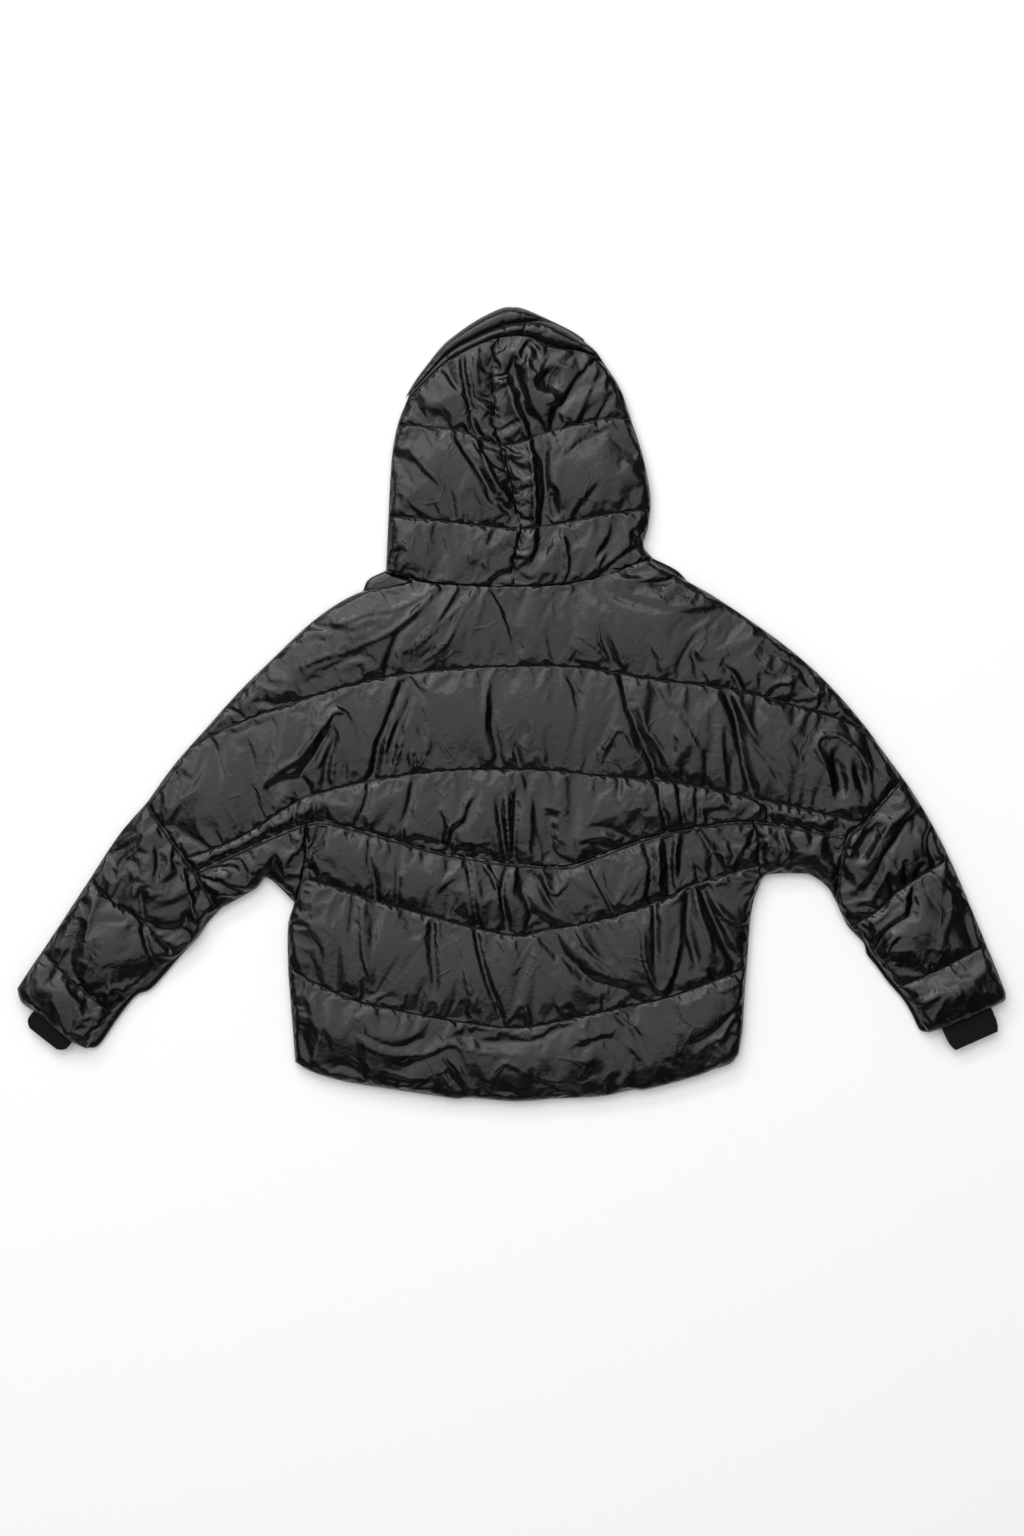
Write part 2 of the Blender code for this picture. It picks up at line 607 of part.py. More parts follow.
def split(line, y):
    """The two parts of a line above and below a height, each clear of it."""
    return line[line[:, 1] > y + 4], line[line[:, 1] < y - 4]


def meet(line, x, other):
    """The line with its first point moved onto another line, at x."""
    return np.vstack([(x, height_on(other, x)), line[1:]])


def build_back(leather, jacket):
    """The upper layer of the body and the sleeves."""
    twin, neck = smooth(TWIN_SEAM), smooth(NECK_SEAM)
    seam_left = meet(smooth(SIDE_SEAM_LEFT), SIDE_SEAM_LEFT[0][0], twin)
    seam_right = meet(smooth(SIDE_SEAM_RIGHT), SIDE_SEAM_RIGHT[0][0], twin)
    over_left, under_left = split(smooth(ELBOW_LEFT), twin[0, 1])
    over_right, under_right = split(smooth(ELBOW_RIGHT), twin[-1, 1])
    shoulder_left, shoulder_right = smooth(SHOULDER_LEFT), smooth(SHOULDER_RIGHT)
    back_neck = between(neck, shoulder_left[-1, 0] + 2.0, neck[-1, 0])
    upper = loop(twin, over_right[::-1], shoulder_right[::-1], back_neck[::-1], shoulder_left[::-1],
                 over_left)
    lower = loop(between(twin, seam_left[0, 0], seam_right[0, 0]), seam_right, smooth(SIDE_RIGHT),
                 smooth(HEM)[::-1], smooth(SIDE_LEFT)[::-1], seam_left[::-1])
    arm_left = loop(between(twin, twin[0, 0], seam_left[0, 0]), seam_left, smooth(UNDERARM_LEFT)[::-1],
                    under_left[::-1])
    arm_right = loop(between(twin, seam_right[0, 0], twin[-1, 0]), under_right,
                     smooth(UNDERARM_RIGHT)[::-1], seam_right[::-1])
    elbow_left = np.vstack([over_left, twin[:1], under_left])
    elbow_right = np.vstack([over_right, twin[-1:], under_right])
    mouth_left, mouth_right = smooth(SLEEVE_LEFT_MOUTH), smooth(SLEEVE_RIGHT_MOUTH)
    outer_left, outer_right = smooth(SLEEVE_LEFT_OUTER), smooth(SLEEVE_RIGHT_OUTER)
    sleeve_left = loop(elbow_left, smooth(SLEEVE_LEFT_INNER), mouth_left[::-1], outer_left[::-1])
    sleeve_right = loop(elbow_right, smooth(SLEEVE_RIGHT_INNER), mouth_right[::-1], outer_right[::-1])
    for panel in (
            Panel("back_upper", upper, (QUILT_1, QUILT_2)),
            Panel("back_lower", lower, (QUILT_3, QUILT_4)),
            Panel("underarm_left", arm_left, loft=10.0),
            Panel("underarm_right", arm_right, loft=12.0),
            Panel("sleeve_left_back", sleeve_left, (SLEEVE_LEFT_QUILT_1, SLEEVE_LEFT_QUILT_2), 13.0,
                  mouth_left),
            Panel("sleeve_right_back", sleeve_right, (SLEEVE_RIGHT_QUILT_1, SLEEVE_RIGHT_QUILT_2), 13.0,
                  mouth_right)):
        upper_panel(panel, leather, jacket)
    for node, elbow, inner, mouth, outer in (
            ("sleeve_left_front", elbow_left, SLEEVE_LEFT_UNDER, mouth_left, outer_left),
            ("sleeve_right_front", elbow_right, SLEEVE_RIGHT_UNDER, mouth_right, outer_right)):
        lower_panel(node, loop(elbow, smooth(inner), mouth[::-1], outer[::-1]), leather, jacket)
    return elbow_left, elbow_right


def build_hood(leather, jacket, cutters):
    """The hood's two sides, the crown between them and the opening's band, and the stand under them."""
    neck, fold, centre = smooth(NECK_SEAM), smooth(HOOD_FOLD), smooth(CENTRE_SEAM)
    crown_x, neck_x = centre[0, 0], centre[-1, 0]
    centre = meet(meet(centre, crown_x, fold)[::-1], neck_x, neck)[::-1]
    edge_left, edge_right = smooth(HOOD_SIDE_LEFT), smooth(HOOD_SIDE_RIGHT)
    left = loop(between(neck, neck[0, 0], neck_x), centre[::-1], between(fold, fold[0, 0], crown_x)[::-1],
                edge_left[::-1])
    right = loop(between(neck, neck_x, neck[-1, 0]), edge_right, between(fold, crown_x, fold[-1, 0])[::-1],
                 centre)
    quilting_left = (HOOD_QUILT_1_LEFT, HOOD_QUILT_2_LEFT)
    quilting_right = (HOOD_QUILT_1_RIGHT, HOOD_QUILT_2_RIGHT)
    folded_panel(Panel("hood_left", left, quilting_left, HOOD_LOFT), edge_left, 1, leather, jacket, cutters)
    folded_panel(Panel("hood_right", right, quilting_right, HOOD_LOFT), edge_right, -1, leather, jacket,
                 cutters)
    band_seam, rim = smooth(HOOD_BAND_SEAM, STRIP_STEP), smooth(HOOD_RIM, STRIP_STEP)
    crown_end = smooth(HOOD_CROWN_END, STRIP_STEP)
    padded_strip("hood_crown", loop(fold, crown_end, band_seam[::-1]), CROWN_LOFT, leather, jacket)
    padded_strip("hood_band", loop(band_seam, rim[::-1]), BAND_LOFT, leather, jacket)
    stand = loop(smooth(STAND_BASE), smooth(STAND_RIGHT)[::-1], neck[::-1], smooth(STAND_LEFT)[::-1])
    lower_panel("hood_stand", stand, leather, jacket)


def build_fronts(elbow_left, elbow_right, leather, tape, jacket):
    """The lower layer of the body: the two fronts and the zip between them."""
    hem, neck = smooth(HEM), smooth(STAND_BASE)
    shoulder_left, shoulder_right = smooth(SHOULDER_LEFT), smooth(SHOULDER_RIGHT)
    shoulder_left = shoulder_left[shoulder_left[:, 0] < neck[0, 0] - 4]
    shoulder_right = shoulder_right[shoulder_right[:, 0] > neck[-1, 0] + 4]
    left = loop(between(hem, hem[0, 0], -ZIP_HALF), between(neck, neck[0, 0], -ZIP_HALF)[::-1],
                shoulder_left[::-1], elbow_left, smooth(UNDERARM_LEFT), smooth(SIDE_LEFT))
    right = loop(between(hem, ZIP_HALF, hem[-1, 0]), smooth(SIDE_RIGHT)[::-1], smooth(UNDERARM_RIGHT),
                 elbow_right[::-1], shoulder_right[::-1], between(neck, ZIP_HALF, neck[-1, 0])[::-1])
    lower_panel("front_left", left, leather, jacket)
    lower_panel("front_right", right, leather, jacket)
    half = ZIP_HALF - SEAM_GAP / 2
    low, high = height_on(hem, 0.0) + ZIP_SHORT, height_on(neck, 0.0) - ZIP_SHORT
    strip = np.array([(-half, low), (half, low), (half, high), (-half, high)])
    slab("zip", strip, ZIP_HEIGHT, ZIP_HEIGHT + ZIP_THICK, tape, jacket)


def main():
    """Clears the scene and makes every piece of the jacket."""
    for old in list(bpy.data.objects):
        bpy.data.objects.remove(old)
    jacket = bpy.data.collections.new("puffer_jacket")
    cutters = bpy.data.collections.new("cutters")
    for collection in (jacket, cutters):
        bpy.context.scene.collection.children.link(collection)
    leather = material("faux_leather", (0.022, 0.022, 0.024), 0.4)
    knit = material("rib_knit", (0.008, 0.008, 0.009), 0.9)
    tape = material("zip_tape", (0.012, 0.012, 0.012), 0.7)
    elbow_left, elbow_right = build_back(leather, jacket)
    build_hood(leather, jacket, cutters)
    build_fronts(elbow_left, elbow_right, leather, tape, jacket)
    for spec in CUFFS:
        cuff(spec, knit, jacket)


main()
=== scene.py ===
"""Dressed model of a hooded batwing puffer jacket of faux leather, laid flat on its front with the back up.

Every padded panel of the upper layer is one sheet of cloth over wadding. The sheet is cut from the same
lines as its solid, puffed between its stitched lines, creased along listed routes and settled by a cloth
simulation that holds it at its stitching. It is then closed round its wadding. Sizes are in millimetres until
a mesh is made, and left and right are the wearer's.
"""

import logging
import math
from dataclasses import dataclass, field
from enum import Enum
from typing import NamedTuple, Sequence

import bpy
import numpy as np
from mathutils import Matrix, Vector
from mathutils.geometry import delaunay_2d_cdt


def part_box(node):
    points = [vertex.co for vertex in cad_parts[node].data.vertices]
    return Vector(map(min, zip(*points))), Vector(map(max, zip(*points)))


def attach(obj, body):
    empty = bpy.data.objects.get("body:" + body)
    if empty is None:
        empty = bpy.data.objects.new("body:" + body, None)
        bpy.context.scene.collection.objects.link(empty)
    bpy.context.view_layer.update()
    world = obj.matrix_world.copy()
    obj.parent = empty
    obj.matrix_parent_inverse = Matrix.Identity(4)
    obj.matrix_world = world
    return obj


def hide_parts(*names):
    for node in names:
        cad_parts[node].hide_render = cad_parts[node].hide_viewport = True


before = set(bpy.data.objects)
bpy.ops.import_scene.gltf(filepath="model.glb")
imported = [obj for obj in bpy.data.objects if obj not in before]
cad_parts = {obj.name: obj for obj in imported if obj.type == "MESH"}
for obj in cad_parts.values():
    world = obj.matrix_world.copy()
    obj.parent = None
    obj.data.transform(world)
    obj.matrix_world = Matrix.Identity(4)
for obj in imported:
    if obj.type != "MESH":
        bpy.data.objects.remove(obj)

logging.basicConfig(level=logging.INFO, format="%(message)s")
log = logging.getLogger("jacket")

MM = 0.001
ROOT = "root"

# Walls and heights, as in the solids
SEAM_GAP = 0.3
FRONT_WALL = 9.0
LAYER = FRONT_WALL + SEAM_GAP  # height of the plain inside of the upper layer
STITCHED = 4.5  # wall left at a seam or a quilting line
GROOVE = 1.25  # how far the cloth rises at once beside its stitching
GROOVE_REACH = 1.3
PUFF_REACH = 24.0  # how slowly the rest of a puff rises
SWELL = 6.0  # height that the upper layer gains from the laid edge to the middle
SWELL_REACH = 45.0
EDGE_ROUND = 7.0  # width of the rounding under an edge of the lower layer
EDGE_LIFT = 4.0  # height of that rounding
UNDER_ROUND = 0.85 * EDGE_ROUND  # where the lift ends, just inside the row of points at EDGE_ROUND
BACK_LOFT = 8.5  # how high a panel puffs up between its stitching
UNDERARM_LOFT = 8.0
SLEEVE_LOFT = 9.5
HOOD_LOFT = 11.0
HOOD_REACH = 40.0
CROWN_LOFT = 9.0
BAND_LOFT = 6.0
STRIP_REACH = 8.0
ZIP_HALF = 7.0

# What the dressed panels add
ROLL = 14.0  # width over which a panel rolls down to the jacket's outer edge
EDGE_PUFF = 0.2  # share of its puff that a panel keeps at that edge
HELD_LEAST = 0.35  # share of a crease that passes through a stitched line
HELD_REACH = 6.0
TWIN_APART = 3.8  # between a twin-stitched seam and its second row
TWIN_LIFT = 1.0  # how much higher the second row lies
TWIN_SPREAD = 2.4
HELD_WITHIN = 0.3  # points this near to stitching are held by it
PANEL_FILL = 0.45  # how tight the wadding makes a panel, from 0 to 1
LOWER_FILL = 0.3
UNSEWN = 0.05  # what the stitching map says away from stitching, in metres
DENTS = ((0.15, 17.0, 11), (0.3, 34.0, 12), (0.65, 62.0, 13))  # heights, widths and seeds of random dents
DENT_WAVES = 28  # how many waves are added up for each
DENT_LENGTHS = (1.2, 3.2)  # the shortest and the longest of them, in widths of a dent
DENT_REACH = 14.0  # distance from stitching over which dents grow
ASIDE_SHARE = 0.4  # share of its distance to the border by which a settled point may shift in plan
TINY = 1e-9  # in place of a length of 0
LEAST_COVER = 0.8  # least height of a settled sheet over the panel's inside
CALM_SLACK = 0.006  # share by which cloth in the middle of a panel is longer than the panel
FULL_SLACK = 0.05  # and the most that it is at a gathered seam
SEAM_SLACK = 0.026
SEAM_SLACK_REACH = 11.0

# Spacing of a sheet's points
CLOTH_STEP = 3.8
LINE_STEP = 3.6
PLAIN_STEP = 60.0
STRIP_STEP = 3.4
NEAR_RING = 1.5  # rows of points on both sides of a stitched line and inside a border
FAR_RING = 3.7
STRIP_RINGS = (1.6,)
LINE_END = 1.2  # how far a quilting line stops short of a panel's border
OUTER_STEP = 7.0
CURVE_STEPS = 16  # steps between two given points of a curve, before it is spaced out
INNER_CLEAR = 0.55  # share of the step that the inner points keep from the last row beside a line
RING_CLEAR = 0.86  # share of its own distance that a row keeps from every line
MERGED = 0.05  # points nearer than this are made one
SHORTEST = 1e-6  # what a stretch of a line counts as at least
APART = 0.8  # least distance between two points of an outline
LEAST_MITRE = 0.6  # limits how far a sharp corner moves when an outline is moved inwards
CORNER_CLEAR = 2.0  # what lines keep from a corner that another line brings
STAND_CLEAR = 4.0

# Angles from which an edge is sharp, in degrees
PADDED_ANGLE = 70.0
LOWER_ANGLE = 60.0
SMALL_ANGLE = 50.0
TOOTH_ANGLE = 40.0

# ---------------------------------------------------------------------------------------------------
# Lines of the cut, in millimetres: each row is a point, x y. MIDDLE is the jacket's middle in them.

Line = np.ndarray  # points in a row
Rows = Sequence[tuple[float, float]]
Faces = Sequence[tuple[int, ...]]

MIDDLE = (0.5, 0.48)

SHOULDER_LEFT = ((-453, -121), (-419, -74), (-382, -32), (-339, 16), (-292, 62), (-254, 98), (-219, 124),
                 (-185, 141), (-151, 148), (-130, 152))
SHOULDER_RIGHT = ((176, 178), (221, 153), (259, 131), (308, 98), (356, 62), (398, 23), (439, -24),
                  (463, -57), (488, -91))
NECK_SEAM = ((-156, 167), (-139, 161), (-102, 152), (-52, 148), (4, 147), (59, 149), (108, 158),
             (158, 176), (176, 183))
QUILT_1 = ((-402, -56), (-356, -31), (-271, 2), (-168, 31), (-82, 43), (4, 47), (84, 46), (171, 32),
           (276, 18), (348, 0), (418, -23), (452, -44))
QUILT_2 = ((-402, -192), (-339, -166), (-271, -124), (-244, -112), (-168, -94), (-82, -83), (-14, -81),
           (61, -83), (101, -88), (206, -98), (295, -116), (348, -126), (425, -145))
TWIN_SEAM = ((-392, -208), (-326, -177), (-270, -153), (-240, -146), (-214, -149), (-168, -161), (-89, -183),
             (-31, -193), (4, -198), (66, -201), (101, -191), (171, -165), (259, -148), (311, -146),
             (365, -154), (418, -165))
QUILT_3 = ((-260, -216), (-212, -230), (-162, -247), (-105, -262), (-51, -277), (8, -288), (40, -282),
           (94, -272), (144, -259), (189, -242), (235, -222), (278, -209), (309, -201))
QUILT_4 = ((-278, -327), (-250, -343), (-194, -368), (-129, -383), (-75, -393), (6, -402), (75, -391),
           (132, -379), (190, -366), (246, -347), (294, -328))
HEM = ((-269, -446), (-249, -458), (-209, -470), (-149, -480), (-89, -489), (-69, -492), (-49, -491),
       (0, -495), (31, -494), (51, -492), (111, -489), (151, -481), (171, -480), (231, -464), (251, -456),
       (274, -448), (284, -436))
SIDE_SEAM_LEFT = ((-254, -150), (-256, -182), (-260, -216), (-270, -247))
SIDE_LEFT = ((-270, -247), (-278, -276), (-278, -327), (-275, -369), (-269, -446))
SIDE_SEAM_RIGHT = ((301, -146), (308, -176), (309, -201), (312, -219))
SIDE_RIGHT = ((312, -219), (300, -257), (294, -328), (291, -369), (289, -404), (284, -436))
UNDERARM_LEFT = ((-361, -254), (-334, -239), (-316, -228), (-306, -216), (-291, -226), (-270, -247))
UNDERARM_RIGHT = ((312, -219), (322, -212), (361, -211), (376, -214), (395, -228), (404, -243))
ELBOW_LEFT = ((-453, -121), (-424, -164), (-392, -208), (-375, -237), (-361, -254))
ELBOW_RIGHT = ((488, -91), (465, -116), (440, -144), (418, -165), (409, -197), (404, -243))


class SleeveLines(NamedTuple):
    """The lines of one lower sleeve, past its elbow seam."""

    side: str
    outer: Rows
    mouth: Rows
    inner: Rows
    under: Rows  # the inner edge of the front half
    quilting: tuple[Rows, Rows]


SLEEVE_LEFT = SleeveLines(
    "left",
    outer=((-453, -121), (-489, -163), (-526, -219), (-564, -277), (-594, -322), (-615, -354)),
    mouth=((-615, -354), (-610, -371), (-595, -382), (-576, -397), (-552, -418), (-529, -429)),
    inner=((-361, -254), (-378, -269), (-389, -289), (-414, -313), (-451, -341), (-479, -368), (-504, -396),
           (-529, -429)),
    under=((-361, -254), (-378, -272), (-389, -289), (-414, -316), (-448, -354), (-468, -364), (-491, -392),
           (-514, -425), (-529, -429)),
    quilting=(((-525, -217), (-498, -244), (-474, -259), (-454, -274), (-434, -294), (-414, -313)),
              ((-584, -307), (-564, -327), (-542, -349), (-522, -366), (-496, -387))))
SLEEVE_RIGHT = SleeveLines(
    "right",
    outer=((488, -91), (500, -108), (522, -144), (542, -182), (559, -219), (575, -257), (598, -313),
           (616, -359)),
    mouth=((616, -359), (615, -369), (598, -378), (562, -395), (538, -404), (519, -409)),
    inner=((404, -243), (415, -267), (424, -278), (442, -298), (450, -311), (470, -338), (489, -361),
           (502, -379), (519, -409)),
    under=((404, -243), (415, -267), (422, -279), (440, -298), (444, -312), (456, -327), (470, -346),
           (489, -368), (500, -386), (510, -406), (519, -409)),
    quilting=(((545, -188), (535, -198), (505, -217), (481, -233), (459, -254), (424, -278)),
              ((592, -298), (574, -309), (546, -323), (516, -338), (481, -353))))

HOOD_SIDE_LEFT = ((-156, 167), (-155, 187), (-153, 231), (-149, 304), (-142, 346), (-131, 376))
HOOD_SIDE_RIGHT = ((176, 183), (165, 198), (171, 221), (174, 258), (165, 308), (150, 354), (136, 394),
                   (115, 427))
HOOD_FOLD = ((-131, 376), (-89, 419), (-51, 443), (-15, 456), (21, 458), (56, 445), (89, 439), (115, 427))
HOOD_BAND_SEAM = ((-127, 387), (-80, 437), (-46, 457), (-11, 472), (34, 479), (64, 470), (92, 452))
HOOD_RIM = ((-132, 383), (-119, 405), (-104, 425), (-89, 444), (-74, 458), (-44, 479), (-14, 494), (1, 496),
            (16, 494), (46, 481), (76, 466), (91, 456))
HOOD_CROWN_END = ((115, 427), (106, 440), (92, 452))
CENTRE_SEAM = ((-15, 456), (-24, 419), (-21, 374), (-16, 328), (-1, 286), (6, 242), (12, 217), (4, 182),
               (4, 147))
HOOD_QUILT_1_LEFT = ((-142, 348), (-102, 345), (-65, 340), (-40, 331), (-15, 321))
HOOD_QUILT_1_RIGHT = ((-15, 321), (14, 326), (34, 335), (71, 345), (115, 355), (150, 357))
HOOD_QUILT_2_LEFT = ((-153, 234), (-102, 230), (-52, 224), (11, 217))
HOOD_QUILT_2_RIGHT = ((11, 217), (46, 222), (84, 229), (132, 238), (173, 243))

STAND_LEFT = ((-185, 141), (-178, 156), (-156, 167))
STAND_RIGHT = ((176, 183), (206, 168), (221, 153))
STAND_BASE = ((-185, 141), (-120, 122), (0, 108), (120, 130), (221, 153))


# ---------------------------------------------------------------------------------------------------
# Creases, listed one by one. Each row is one ridge or trough of the cloth: its width, its height, and the
# points of its route, x y, in squares of the cutting chart counted from the middle. Width is the distance
# from the crease's middle to its foot, and height is above 0 for a ridge and below 0 for a trough, both in
# millimetres. A narrow ridge has a sharp crest and a wide one a round one.

SQUARE = 1.25  # width of the chart's squares, in millimetres
SHARPEST = 0.75  # the share of a sharp crest in the narrowest ridges
ROUND_FROM = 12.0  # width from which a ridge has none
SHARP_SPAN = 7.0
TROUGH_SHARE = 0.75  # a trough's walls meet in an edge at its bottom and run out softly at its foot
TROUGH_POWER = 1.7
HELD_END = 12.0  # how near to stitching an end has to be to be held by it
RUN_OUT = 0.45  # share of a crease over which it runs out at a free end, and the longest that takes
LONGEST_RUN_OUT = 32.0
LEAN_TO = (-0.45, 0.89)  # the folds lean this way: a trough's side there is steep, and a ridge's is gentle
TROUGH_LEAN = 0.5
RIDGE_LEAN = 0.35
CREASE_STEP = 4.0
CREASE_SPAN = 2.4  # how many of its widths a crease is felt over
ROUND_FALL = 1.6  # how fast a round crest falls off, and a sharp one
SHARP_FALL = 2.6

Crease = tuple[float, ...]

